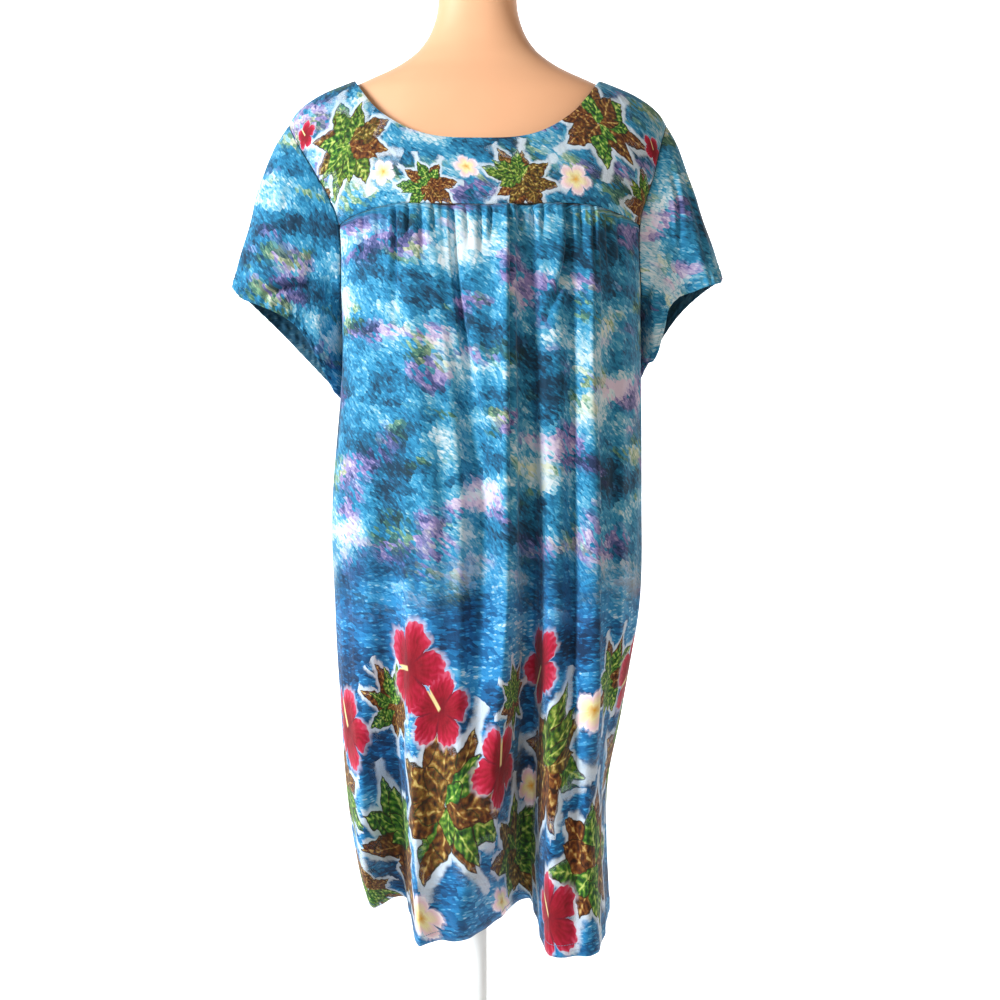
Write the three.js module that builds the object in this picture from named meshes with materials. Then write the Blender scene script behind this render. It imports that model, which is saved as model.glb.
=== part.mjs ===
// A muumuu dress with a scooped neck, a yoke, gathered panels and flared short sleeves,
// resting on the shoulders of a smooth limbless dress form that stands on a round base.
// Millimetres. Up is +Z, the front faces -Y, and the origin is the centre of the base's underside.

import * as THREE from "three";

// Heights above the floor
const HEM_HEIGHT = 300;
const UNDERARM_HEIGHT = 1107;
const YOKE_SEAM_HEIGHT = 1207;
const SHOULDER_TIP_HEIGHT = 1347;
const NECK_POINT_HEIGHT = 1398;
const NECK_FRONT_HEIGHT = 1297;
const NECK_BACK_HEIGHT = 1378;

// Neck scoop, armhole and cloth
const NECK_HALF_WIDTH = 164;
const NECK_CURVE = 3.3;
const ARMHOLE_FRONT = 62;
const ARMHOLE_BACK = 60;
const CLOTH = 1.6;
const SEAM_GAP = 0.3;
const ARMHOLE_GAP = 1.2;
const SECTION_POWER = 2.4;
const SECTION_STEPS = 360;

// Rise of the yoke seam over its height, by share of the way from the middle to the armhole
const SEAM_CURVE = [
  { share: 0, rise: 1 },
  { share: 0.3, rise: 3 },
  { share: 0.55, rise: 5 },
  { share: 0.7, rise: 3 },
  { share: 0.84, rise: -2 },
  { share: 1, rise: -9 },
];
const SEAM_FADE = 130;

// Gathers sewn into each yoke seam
const GATHERS = 20;
const COLUMNS_PER_GATHER = 4;
const GATHER_DEPTH = 3.4;
const GATHER_RISE = 14;
const GATHER_LENGTH = 150;
const SHORTEST_GATHER = 60;

// Stand
const BASE_RADIUS = 160;
const BASE_THICKNESS = 8;
const POLE_RADIUS = 12.5;
const POLE_FOOT_RADIUS = 20;
const POLE_FOOT_HEIGHT = 10;
const POLE_FOOT_SLOPE = 6;
const SOCKET_RADIUS = 34;
const SOCKET_END_RADIUS = 22;
const SOCKET_SLOPE = 10;
const SOCKET_HEIGHT = 24;
const FORM_BOTTOM = 820;
const NECK_TOP = 1560;
const CAP_RADIUS = 52;
const CAP_HEIGHT = 12;
const CAP_DEPTH_SHARE = 0.96;
const CAP_SHIFT = 3;

// Sections of the dress body, from the shoulders to the hem:
// side shift of the centre, half width, and reach to the front and to the back
const BODY = [
  { height: 1432, centre: 0, half: 92, front: 56, back: 80 },
  { height: 1398, centre: 0, half: 164, front: 70, back: 92 },
  { height: 1374, centre: 0, half: 220, front: 80, back: 101 },
  { height: 1347, centre: 0, half: 250, front: 89, back: 109 },
  { height: 1309, centre: 3, half: 254, front: 101, back: 114 },
  { height: 1268, centre: 10, half: 242, front: 114, back: 117 },
  { height: 1240, centre: 14, half: 228, front: 121, back: 118 },
  { height: 1207, centre: 16, half: 212, front: 128, back: 118 },
  { height: 1160, centre: 17, half: 203, front: 134, back: 119 },
  { height: 1107, centre: 18, half: 200, front: 141, back: 122 },
  { height: 1000, centre: 18, half: 200, front: 150, back: 130 },
  { height: 840, centre: 13, half: 207, front: 158, back: 144 },
  { height: 705, centre: 13, half: 203, front: 162, back: 148 },
  { height: 570, centre: 5, half: 187, front: 166, back: 150 },
  { height: 480, centre: 0, half: 174, front: 169, back: 153 },
  { height: 400, centre: 4, half: 168, front: 171, back: 155 },
  { height: 300, centre: 15, half: 161, front: 173, back: 157 },
];

// Sections of the bare form
const FORM = [
  { height: 1560, half: 52, front: 46, back: 54 },
  { height: 1500, half: 54, front: 46, back: 60 },
  { height: 1466, half: 64, front: 47, back: 67 },
  { height: 1442, half: 80, front: 50, back: 75 },
  { height: 1426, half: 99, front: 54, back: 80 },
  { height: 1412, half: 123, front: 58, back: 83 },
  { height: 1396, half: 159, front: 65, back: 88 },
  { height: 1379, half: 193, front: 72, back: 94 },
  { height: 1359, half: 208, front: 78, back: 98 },
  { height: 1328, half: 211, front: 86, back: 105 },
  { height: 1290, half: 200, front: 98, back: 109 },
  { height: 1245, half: 187, front: 111, back: 110 },
  { height: 1195, half: 178, front: 118, back: 108 },
  { height: 1140, half: 172, front: 116, back: 103 },
  { height: 1080, half: 158, front: 104, back: 97 },
  { height: 1010, half: 148, front: 97, back: 93 },
  { height: 950, half: 158, front: 102, back: 104 },
  { height: 880, half: 168, front: 104, back: 115 },
  { height: 840, half: 167, front: 101, back: 115 },
  { height: 820, half: 163, front: 97, back: 111 },
];
const FORM_POWER = 2.25;
const FORM_COLUMNS = 40;

// Hanging folds of the front. A fold below zero is a trough and one above zero is a ridge.
// Its line passes x at the yoke seam, the waist and the hem, and it dies out on either side
// over the widths left and right, which change to hemLeft and hemRight below the waist.
const FRONT_FOLDS = [
  { yoke: -150, waist: -102, hem: -100, atYoke: 0, atWaist: -3, atHem: -146,
    left: 40, right: 22, hemLeft: 60, hemRight: 34 },
  { yoke: -92, waist: -58, hem: -40, atYoke: 3, atWaist: 9, atHem: -40,
    left: 22, right: 26, hemLeft: 46, hemRight: 60 },
  { yoke: -34, waist: 6, hem: 0, atYoke: -6, atWaist: -20, atHem: -8,
    left: 26, right: 22, hemLeft: 30, hemRight: 28 },
  { yoke: 38, waist: 41, hem: 30, atYoke: 5, atWaist: 13, atHem: 5,
    left: 22, right: 16, hemLeft: 26, hemRight: 20 },
  { yoke: 64, waist: 70, hem: 69, atYoke: -5, atWaist: -28, atHem: -172,
    left: 24, right: 20, hemLeft: 106, hemRight: 19 },
  { yoke: 100, waist: 99, hem: 97, atYoke: 3, atWaist: 5, atHem: 12,
    left: 16, right: 20, hemLeft: 20, hemRight: 30 },
  { yoke: 118, waist: 118, hem: 122, atYoke: -4, atWaist: -12, atHem: -3,
    left: 14, right: 14, hemLeft: 16, hemRight: 16 },
  { yoke: 150, waist: 145, hem: 148, atYoke: 3, atWaist: 13, atHem: 44,
    left: 20, right: 14, hemLeft: 62, hemRight: 22 },
  { yoke: 176, waist: 172, hem: 166, atYoke: -2, atWaist: -10, atHem: -4,
    left: 16, right: 12, hemLeft: 14, hemRight: 12 },
];

// Hanging folds of the back, read the same way
const BACK_FOLDS = [
  { yoke: -150, waist: -146, hem: -112, atYoke: 0, atWaist: -10, atHem: -60,
    left: 24, right: 22, hemLeft: 34, hemRight: 26 },
  { yoke: -104, waist: -100, hem: -82, atYoke: 3, atWaist: 8, atHem: 10,
    left: 22, right: 20, hemLeft: 26, hemRight: 22 },
  { yoke: -58, waist: -48, hem: -36, atYoke: -5, atWaist: -20, atHem: -92,
    left: 26, right: 22, hemLeft: 42, hemRight: 26 },
  { yoke: 0, waist: 10, hem: 16, atYoke: 4, atWaist: 10, atHem: 12,
    left: 24, right: 22, hemLeft: 30, hemRight: 28 },
  { yoke: 52, waist: 62, hem: 66, atYoke: -5, atWaist: -22, atHem: -108,
    left: 22, right: 26, hemLeft: 28, hemRight: 44 },
  { yoke: 108, waist: 114, hem: 112, atYoke: 3, atWaist: 9, atHem: 12,
    left: 20, right: 20, hemLeft: 24, hemRight: 24 },
  { yoke: 158, waist: 160, hem: 148, atYoke: 0, atWaist: -9, atHem: -34,
    left: 20, right: 20, hemLeft: 26, hemRight: 22 },
];
const WAIST_HEIGHT = 840;
const SIDE_HOLD = 0.1;
const HEM_EASE = 0.65;

// Heights of the panel's rows
const PANEL_ROWS = [1207, 1196, 1178, 1152, 1107, 1048, 976, 890, 790, 680, 560, 430, 300];

// Rows of a yoke, as shares of the way down from the shoulder line to the seam
const YOKE_DROPS = [0, 0.012, 0.05, 0.14, 0.3, 0.5, 0.68, 0.84, 1];
const SHOULDER_STEPS = 5;
const NECK_STEPS = 18;

// Rings of each sleeve past the armhole seam. Side distances are measured outward from x = 0,
// and underBack is how far the underside lies to the back.
const LEFT_SLEEVE = [
  { topOut: 273, topHeight: 1314, underOut: 188, underHeight: 1102, underBack: 6, front: 64, back: 62 },
  { topOut: 292, topHeight: 1266, underOut: 187, underHeight: 1084, underBack: 18, front: 68, back: 64 },
  { topOut: 304, topHeight: 1221, underOut: 185, underHeight: 1052, underBack: 28, front: 70, back: 66 },
  { topOut: 318, topHeight: 1172, underOut: 184, underHeight: 1014, underBack: 34, front: 68, back: 66 },
  { topOut: 331, topHeight: 1127, underOut: 183, underHeight: 974, underBack: 38, front: 66, back: 66 },
];
const RIGHT_SLEEVE = [
  { topOut: 268, topHeight: 1318, underOut: 224, underHeight: 1102, underBack: 6, front: 62, back: 62 },
  { topOut: 285, topHeight: 1270, underOut: 223, underHeight: 1086, underBack: 18, front: 66, back: 64 },
  { topOut: 300, topHeight: 1227, underOut: 221, underHeight: 1056, underBack: 28, front: 68, back: 66 },
  { topOut: 316, topHeight: 1180, underOut: 220, underHeight: 1022, underBack: 34, front: 66, back: 66 },
  { topOut: 330, topHeight: 1138, underOut: 219, underHeight: 990, underBack: 38, front: 64, back: 66 },
];

// Folds of the sleeves: middle and reach in degrees round from the top by the front,
// and how far the cuff's edge moves in or out
const LEFT_SLEEVE_FOLDS = [
  { round: 62, reach: 26, move: 6 },
  { round: 108, reach: 30, move: -7 },
  { round: 240, reach: 34, move: -9 },
  { round: 290, reach: 30, move: 6 },
];
const RIGHT_SLEEVE_FOLDS = [
  { round: 48, reach: 26, move: 5 },
  { round: 92, reach: 30, move: -18 },
  { round: 121, reach: 14, move: -9 },
  { round: 142, reach: 24, move: 8 },
  { round: 246, reach: 34, move: -10 },
];

// Places where the cuff's edge rises: middle and the reach on either side in degrees round
const LEFT_SLEEVE_LIFTS = [
  { round: 106, before: 66, after: 50, rise: 38 },
];
const RIGHT_SLEEVE_LIFTS = [
  { round: 112, before: 84, after: 22, rise: 58 },
  { round: 142, before: 24, after: 38, rise: 22 },
  { round: 270, before: 90, after: 90, rise: 24 },
];
const SLEEVE_COLUMNS = 36;
const CUFF_PUCKERS = 12;
const CUFF_PUCKER_DEPTH = 1.2;

// Value of one column of a table at a height, on a smooth curve through its rows
function along(table, height, column) {
  const rows = [...table].sort((a, b) => a.height - b.height);
  const last = rows.length - 1;
  if (height <= rows[0].height) return rows[0][column];
  if (height >= rows[last].height) return rows[last][column];
  let i = 0;
  while (rows[i + 1].height < height) i += 1;
  const slopeAt = (k) => {
    const lower = rows[Math.max(k - 1, 0)];
    const upper = rows[Math.min(k + 1, last)];
    return (upper[column] - lower[column]) / (upper.height - lower.height);
  };
  const span = rows[i + 1].height - rows[i].height;
  const t = (height - rows[i].height) / span;
  const near = (1 + 2 * t) * (1 - t) ** 2 * rows[i][column] + t * (1 - t) ** 2 * span * slopeAt(i);
  const far = t * t * (3 - 2 * t) * rows[i + 1][column] - t * t * (1 - t) * span * slopeAt(i + 1);
  return near + far;
}

// Reach of a rounded section at a side distance from its centre
function reach(aside, half, depth, power) {
  const share = Math.min(Math.abs(aside) / half, 1);
  return depth * (1 - share ** power) ** (1 / power);
}

// Side distance from the centre at which a rounded section has a given reach
function asideAt(depth, half, full, power) {
  return half * (1 - Math.min(depth / full, 1) ** power) ** (1 / power);
}

// A falling bump, one at its middle and nought at its edge
function bump(distance, width) {
  const share = Math.min(Math.abs(distance) / width, 1);
  return 0.5 + 0.5 * Math.cos(Math.PI * share);
}

// Curve through three heights: yoke seam, waist and hem
function throughWaist(height, yoke, waist, hem) {
  if (height >= WAIST_HEIGHT) {
    const t = Math.min((YOKE_SEAM_HEIGHT - height) / (YOKE_SEAM_HEIGHT - WAIST_HEIGHT), 1);
    return yoke + (waist - yoke) * Math.max(t, 0);
  }
  const t = (WAIST_HEIGHT - height) / (WAIST_HEIGHT - HEM_HEIGHT);
  return waist + (hem - waist) * ((1 - HEM_EASE) * t + HEM_EASE * t * t);
}

// How far the folds move the cloth out at a place
function foldsAt(folds, x, height) {
  let sum = 0;
  for (const fold of folds) {
    const line = throughWaist(height, fold.yoke, fold.waist, fold.hem);
    const size = throughWaist(height, fold.atYoke, fold.atWaist, fold.atHem);
    const left = throughWaist(height, fold.left, fold.left, fold.hemLeft);
    const right = throughWaist(height, fold.right, fold.right, fold.hemRight);
    sum += size * bump(x - line, x < line ? left : right);
  }
  return sum;
}

// Columns of a yoke, as shares of the way from the middle to the armholes
function yokeShares() {
  const neckShare = NECK_HALF_WIDTH / along(BODY, SHOULDER_TIP_HEIGHT, "half");
  const shoulder = (1 - neckShare) / SHOULDER_STEPS;
  const shares = [];
  for (let i = 0; i < SHOULDER_STEPS; i += 1) shares.push(-1 + shoulder * i);
  for (let i = 0; i <= NECK_STEPS; i += 1) {
    shares.push(neckShare * Math.sin((Math.PI / 2) * ((2 * i) / NECK_STEPS - 1)));
  }
  for (let i = 1; i <= SHOULDER_STEPS; i += 1) shares.push(neckShare + shoulder * i);
  return shares;
}

// Rise of the yoke seam at a share of the way from the middle to the armhole. The panels follow
// the yoke's straight steps between its columns.
const SEAM_SHARES = yokeShares();
const SEAM_RISES = SEAM_SHARES.map((share) => {
  const at = Math.abs(share);
  let i = 0;
  while (i < SEAM_CURVE.length - 2 && SEAM_CURVE[i + 1].share < at) i += 1;
  const t = (at - SEAM_CURVE[i].share) / (SEAM_CURVE[i + 1].share - SEAM_CURVE[i].share);
  return SEAM_CURVE[i].rise + (SEAM_CURVE[i + 1].rise - SEAM_CURVE[i].rise) * t * t * (3 - 2 * t);
});

function seamRise(share) {
  let i = 0;
  while (i < SEAM_SHARES.length - 2 && SEAM_SHARES[i + 1] < share) i += 1;
  const t = (share - SEAM_SHARES[i]) / (SEAM_SHARES[i + 1] - SEAM_SHARES[i]);
  return SEAM_RISES[i] + (SEAM_RISES[i + 1] - SEAM_RISES[i]) * t;
}

// Depth of the armhole oval at a height
function armholeDepth(height, widest) {
  const middle = (SHOULDER_TIP_HEIGHT + UNDERARM_HEIGHT) / 2;
  const half = (SHOULDER_TIP_HEIGHT - UNDERARM_HEIGHT) / 2;
  const share = (height - middle) / half;
  return Math.abs(share) >= 1 ? 0 : widest * Math.sqrt(1 - share * share);
}

// Distance of the armhole seam from the centre of the body at a height
function armholeAside(height, front) {
  const side = front ? "front" : "back";
  const depth = armholeDepth(height, front ? ARMHOLE_FRONT : ARMHOLE_BACK);
  const half = along(BODY, Math.min(height, SHOULDER_TIP_HEIGHT), "half");
  return asideAt(depth, half, along(BODY, height, side), SECTION_POWER);
}

// Closed mesh from a wall's outer points. Its inner points lie a cloth's thickness inside.
// A grid is a list of rows of points; level lists the directions that an edge's rim keeps to none of.
function wall(grid, { round = false, level = () => [], outward }) {
  const rows = grid.length;
  const columns = grid[0].length;
  const positions = [];
  const at = (r, c) => grid[r][round ? (c + columns) % columns : Math.min(Math.max(c, 0), columns - 1)];
  const inner = [];
  for (let r = 0; r < rows; r += 1) {
    for (let c = 0; c < columns; c += 1) {
      const across = at(r, c + 1).clone().sub(at(r, c - 1));
      const down = at(Math.min(r + 1, rows - 1), c).clone().sub(at(Math.max(r - 1, 0), c));
      const normal = across.cross(down);
      for (const away of level(r, c)) normal.addScaledVector(away, -normal.dot(away));
      normal.normalize();
      if (normal.dot(outward(grid[r][c])) < 0) normal.negate();
      positions.push(grid[r][c]);
      inner.push(grid[r][c].clone().addScaledVector(normal, -CLOTH));
    }
  }
  const total = positions.length;
  positions.push(...inner);
  const index = [];
  const wraps = round ? columns : columns - 1;
  const place = (r, c) => r * columns + (c % columns);
  const quad = (a, b, c, d) => index.push(a, b, c, a, c, d);
  for (let r = 0; r < rows - 1; r += 1) {
    for (let c = 0; c < wraps; c += 1) {
      const a = place(r, c);
      const b = place(r + 1, c);
      const d = place(r, c + 1);
      const e = place(r + 1, c + 1);
      quad(a, b, e, d);
      quad(a + total, d + total, e + total, b + total);
    }
  }
  for (let c = 0; c < wraps; c += 1) {
    const a = place(0, c);
    const b = place(0, c + 1);
    quad(a, b, b + total, a + total);
    const e = place(rows - 1, c);
    const f = place(rows - 1, c + 1);
    quad(e, e + total, f + total, f);
  }
  if (!round) {
    for (let r = 0; r < rows - 1; r += 1) {
      const a = place(r, 0);
      const b = place(r + 1, 0);
      quad(a, a + total, b + total, b);
      const e = place(r, columns - 1);
      const f = place(r + 1, columns - 1);
      quad(e, f, f + total, e + total);
    }
  }
  return closed(positions, index);
}

// Geometry from points and triangles, turned so that its faces point out
function closed(points, index) {
  let volume = 0;
  for (let i = 0; i < index.length; i += 3) {
    const [a, b, c] = [points[index[i]], points[index[i + 1]], points[index[i + 2]]];
    volume += a.dot(b.clone().cross(c));
  }
  if (volume < 0) {
    for (let i = 0; i < index.length; i += 3) {
      [index[i + 1], index[i + 2]] = [index[i + 2], index[i + 1]];
    }
  }
  const geometry = new THREE.BufferGeometry();
  const flatPoints = points.flatMap((point) => [point.x, point.y, point.z]);
  geometry.setAttribute("position", new THREE.Float32BufferAttribute(flatPoints, 3));
  geometry.setIndex(index);
  geometry.computeVertexNormals();
  return geometry;
}

// Points spread evenly by length along a line of points
function evenly(line, count) {
  const lengths = [0];
  for (let i = 1; i < line.length; i += 1) {
    lengths.push(lengths[i - 1] + line[i].distanceTo(line[i - 1]));
  }
  const points = [];
  let k = 0;
  for (let i = 0; i <= count; i += 1) {
    const goal = (lengths[lengths.length - 1] * i) / count;
    while (k < line.length - 2 && lengths[k + 1] < goal) k += 1;
    const t = (goal - lengths[k]) / (lengths[k + 1] - lengths[k]);
    points.push(line[k].clone().lerp(line[k + 1], t));
  }
  return points;
}

const OUT_X = new THREE.Vector3(1, 0, 0);
const OUT_Y = new THREE.Vector3(0, 1, 0);
const OUT_Z = new THREE.Vector3(0, 0, 1);

// One row of a gathered panel. Its columns are spread evenly along the plain section, cut off
// at the side seam or armhole, and the folds then move them out and in.
function panelRow(height, front) {
  const way = front ? -1 : 1;
  const depth = along(BODY, height, front ? "front" : "back");
  const half = along(BODY, height, "half");
  const centre = along(BODY, height, "centre");
  const cut = armholeDepth(height, front ? ARMHOLE_FRONT : ARMHOLE_BACK);
  const widest = asideAt(cut, half, depth, SECTION_POWER);
  const start = Math.asin((widest / half) ** (SECTION_POWER / 2));
  const line = [];
  for (let i = 0; i <= SECTION_STEPS; i += 1) {
    const turn = start * ((2 * i) / SECTION_STEPS - 1);
    const aside = half * Math.sign(turn) * Math.abs(Math.sin(turn)) ** (2 / SECTION_POWER);
    const plain = depth * Math.abs(Math.cos(turn)) ** (2 / SECTION_POWER);
    line.push(new THREE.Vector3(centre + aside, plain, height));
  }
  const columns = GATHERS * COLUMNS_PER_GATHER;
  return evenly(line, columns).map((point, c) => {
    const hold = Math.min(Math.min(c, columns - c) / (columns * SIDE_HOLD), 1);
    const soft = hold * hold * (3 - 2 * hold);
    const folded = point.y + soft * foldsAt(front ? FRONT_FOLDS : BACK_FOLDS, point.x, height);
    return new THREE.Vector3(point.x, way * (folded + SEAM_GAP / 2), height);
  });
}

// A gathered panel from the yoke seam to the hem. Its gathers are deepest just under the seam
// and die out at uneven lengths further down.
function panel(front) {
  const grid = PANEL_ROWS.map((height) => {
    const fade = Math.max(1 - (YOKE_SEAM_HEIGHT - height) / SEAM_FADE, 0) ** 2;
    const row = panelRow(height, front);
    if (fade === 0) return row;
    const centre = along(BODY, height, "centre");
    const aside = armholeAside(height, front);
    return row.map((point, c) => {
      const share = Math.min(Math.max((point.x - centre) / aside, -1), 1);
      return panelRow(height + fade * seamRise(share), front)[c];
    });
  });
  const waves = grid.map((row, r) => {
    const below = YOKE_SEAM_HEIGHT - PANEL_ROWS[r];
    return row.map((point, c) => {
      const edge = Math.min(c, row.length - 1 - c) / COLUMNS_PER_GATHER;
      const gather = Math.floor(c / COLUMNS_PER_GATHER);
      const uneven = 0.6 * Math.sin(gather * 2.3) + 0.4 * Math.sin(gather * 4.1 + 1);
      const length = Math.max(GATHER_LENGTH * (1 + uneven), SHORTEST_GATHER);
      const rise = Math.min(0.35 + (0.65 * below) / GATHER_RISE, 1);
      const fade = Math.exp(-below / length);
      const size = GATHER_DEPTH * (1 + 0.3 * Math.sin(gather * 1.7 + 0.5)) * rise * fade;
      return Math.min(edge, 1) * size * Math.cos((2 * Math.PI * c) / COLUMNS_PER_GATHER);
    });
  });
  grid.forEach((row, r) => {
    const places = row.map((point) => point.clone());
    row.forEach((point, c) => {
      const before = places[Math.max(c - 1, 0)];
      const after = places[Math.min(c + 1, row.length - 1)];
      const run = after.clone().sub(before).normalize();
      const out = new THREE.Vector3(run.y, -run.x, 0).multiplyScalar(front ? 1 : -1);
      point.addScaledVector(out, waves[r][c]);
    });
    if (r === 0) row.forEach((point) => { point.z -= SEAM_GAP / 2; });
  });
  const last = grid[0].length - 1;
  const level = (r, c) => {
    const ways = [];
    if (c === 0 || c === last) ways.push(PANEL_ROWS[r] <= UNDERARM_HEIGHT ? OUT_Y : OUT_X);
    if (r === 0 || r === PANEL_ROWS.length - 1) ways.push(OUT_Z);
    return ways;
  };
  return wall(grid, { level, outward: panelOutward(grid, front) });
}

// Outward side of a folded panel: the left hand of its run, which holds on steep folds too
function panelOutward(grid, front) {
  const sides = new Map();
  for (const row of grid) {
    row.forEach((point, c) => {
      const before = row[Math.max(c - 1, 0)];
      const after = row[Math.min(c + 1, row.length - 1)];
      const run = after.clone().sub(before);
      sides.set(point, new THREE.Vector3(run.y, -run.x, 0).multiplyScalar(front ? 1 : -1));
    });
  }
  return (point) => sides.get(point);
}

// Height of the shoulder line over a side distance
function shoulderHeight(aside) {
  let low = SHOULDER_TIP_HEIGHT;
  let high = NECK_POINT_HEIGHT + 30;
  for (let i = 0; i < 40; i += 1) {
    const middle = (low + high) / 2;
    if (along(BODY, middle, "half") > aside) low = middle;
    else high = middle;
  }
  return low;
}

// A yoke from the shoulder line and the neck's scoop down to the yoke seam
function yoke(front) {
  const way = front ? -1 : 1;
  const side = front ? "front" : "back";
  const tip = along(BODY, SHOULDER_TIP_HEIGHT, "half");
  const neckShare = NECK_HALF_WIDTH / tip;
  const neckLow = front ? NECK_FRONT_HEIGHT : NECK_BACK_HEIGHT;
  const shares = SEAM_SHARES;
  const grid = YOKE_DROPS.map((drop) => shares.map((share) => {
    const aside = Math.abs(share) * tip;
    const scoop = neckLow + (NECK_POINT_HEIGHT - neckLow) * (aside / NECK_HALF_WIDTH) ** NECK_CURVE;
    const top = aside < NECK_HALF_WIDTH - 0.01 ? scoop : shoulderHeight(Math.min(aside, tip - 0.2));
    const seam = YOKE_SEAM_HEIGHT + seamRise(share) + SEAM_GAP / 2;
    const height = top + (seam - top) * drop;
    const centre = along(BODY, height, "centre");
    const wide = height > SHOULDER_TIP_HEIGHT - 0.3 ? tip : armholeAside(height, front);
    const x = centre + share * wide;
    const half = along(BODY, height, "half");
    const depth = reach(x - centre, half, along(BODY, height, side), SECTION_POWER);
    return new THREE.Vector3(x, way * (depth + SEAM_GAP / 2), height);
  }));
  const level = (r, c) => {
    const ways = [];
    if (c === 0 || c === shares.length - 1) ways.push(OUT_X);
    if (r === YOKE_DROPS.length - 1) ways.push(OUT_Z);
    if (r === 0 && Math.abs(shares[c]) >= neckShare - 0.001) ways.push(OUT_Y);
    return ways;
  };
  const outward = (point) => new THREE.Vector3(point.x, point.y * 3, point.z - UNDERARM_HEIGHT);
  return wall(grid, { level, outward });
}

// A sleeve tube from the armhole seam to the puckered cuff. Side is -1 at the viewer's left.
function sleeve(side, rings, folds, lifts) {
  const grid = [];
  const middle = (SHOULDER_TIP_HEIGHT + UNDERARM_HEIGHT) / 2;
  const half = (SHOULDER_TIP_HEIGHT - UNDERARM_HEIGHT) / 2;
  const seam = [];
  for (let c = 0; c < SLEEVE_COLUMNS; c += 1) {
    const turn = (2 * Math.PI * c) / SLEEVE_COLUMNS;
    const front = Math.sin(turn) >= 0;
    const height = middle + half * Math.cos(turn);
    const aside = armholeAside(height, front);
    const depth = (front ? ARMHOLE_FRONT : ARMHOLE_BACK) * Math.sin(turn);
    const x = along(BODY, height, "centre") + side * aside;
    seam.push(new THREE.Vector3(x + side * ARMHOLE_GAP, -depth, height));
  }
  grid.push(seam);
  rings.forEach((ring, r) => {
    const row = [];
    const share = (r + 1) / rings.length;
    const top = new THREE.Vector3(side * ring.topOut, 0, ring.topHeight);
    const under = new THREE.Vector3(side * ring.underOut, ring.underBack, ring.underHeight);
    const centre = top.clone().add(under).multiplyScalar(0.5);
    for (let c = 0; c < SLEEVE_COLUMNS; c += 1) {
      const turn = (2 * Math.PI * c) / SLEEVE_COLUMNS;
      const depth = Math.sin(turn) * (Math.sin(turn) >= 0 ? ring.front : ring.back);
      const point = centre.clone().add(top.clone().sub(centre).multiplyScalar(Math.cos(turn)));
      point.y -= depth;
      const out = point.clone().sub(centre).normalize();
      const degrees = (turn * 180) / Math.PI;
      for (const lift of lifts) {
        const off = degrees - lift.round;
        point.z += lift.rise * share * share * bump(off, off < 0 ? lift.before : lift.after);
      }
      for (const fold of folds) {
        point.addScaledVector(out, fold.move * share * share * bump(degrees - fold.round, fold.reach));
      }
      if (r === rings.length - 1) {
        point.addScaledVector(out, CUFF_PUCKER_DEPTH * Math.cos(turn * CUFF_PUCKERS));
      }
      row.push(point);
    }
    grid.push(row);
  });
  const centres = new Map();
  for (const row of grid) {
    const centre = new THREE.Vector3();
    row.forEach((point) => centre.add(point));
    centre.divideScalar(row.length);
    row.forEach((point) => centres.set(point, centre));
  }
  const outward = (point) => point.clone().sub(centres.get(point));
  return wall(grid, { round: true, level: (r) => (r === 0 ? [OUT_X] : []), outward });
}

// The form's body, a stack of rounded sections closed at the neck and the bottom
function formBody() {
  const columns = FORM_COLUMNS;
  const heights = FORM.map((section) => section.height);
  const points = [];
  for (const section of FORM) {
    for (let c = 0; c < columns; c += 1) {
      const turn = (2 * Math.PI * c) / columns;
      const power = 2 / FORM_POWER;
      const depth = Math.sin(turn) < 0 ? section.front : section.back;
      const x = section.half * Math.sign(Math.cos(turn)) * Math.abs(Math.cos(turn)) ** power;
      const y = depth * Math.sign(Math.sin(turn)) * Math.abs(Math.sin(turn)) ** power;
      points.push(new THREE.Vector3(x, y, section.height));
    }
  }
  const index = [];
  for (let r = 0; r < heights.length - 1; r += 1) {
    for (let c = 0; c < columns; c += 1) {
      const a = r * columns + c;
      const b = r * columns + ((c + 1) % columns);
      index.push(a, a + columns, b, b, a + columns, b + columns);
    }
  }
  for (const r of [0, heights.length - 1]) {
    const centre = points.length;
    points.push(new THREE.Vector3(0, 0, heights[r]));
    for (let c = 0; c < columns; c += 1) {
      const a = r * columns + c;
      const b = r * columns + ((c + 1) % columns);
      index.push(centre, ...(r === 0 ? [a, b] : [b, a]));
    }
  }
  return closed(points, index);
}

// A round piece turned about the pole from radius and height pairs
function turned(profile, segments) {
  const geometry = new THREE.LatheGeometry(profile.map(([r, z]) => new THREE.Vector2(r, z)), segments);
  geometry.rotateX(Math.PI / 2);
  return geometry;
}

// The neck's plain lid, an oval disc with a rounded top edge
function neckCap() {
  const cap = turned([[0, 0], [CAP_RADIUS, 0], [CAP_RADIUS, CAP_HEIGHT - 4],
    [CAP_RADIUS - 6, CAP_HEIGHT], [0, CAP_HEIGHT]], 32);
  cap.scale(1, CAP_DEPTH_SHARE, 1);
  cap.translate(0, CAP_SHIFT, NECK_TOP + SEAM_GAP);
  return cap;
}

function poleSocket() {
  const low = FORM_BOTTOM - SEAM_GAP - SOCKET_HEIGHT;
  return turned([[0, low], [SOCKET_END_RADIUS, low], [SOCKET_RADIUS, low + SOCKET_SLOPE],
    [SOCKET_RADIUS, low + SOCKET_HEIGHT], [0, low + SOCKET_HEIGHT]], 32);
}

function pole() {
  const low = BASE_THICKNESS + SEAM_GAP;
  const high = FORM_BOTTOM - 2 * SEAM_GAP - SOCKET_HEIGHT;
  const foot = low + POLE_FOOT_HEIGHT;
  return turned([[0, low], [POLE_FOOT_RADIUS, low], [POLE_FOOT_RADIUS, foot],
    [POLE_RADIUS, foot + POLE_FOOT_SLOPE], [POLE_RADIUS, high], [0, high]], 24);
}

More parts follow.
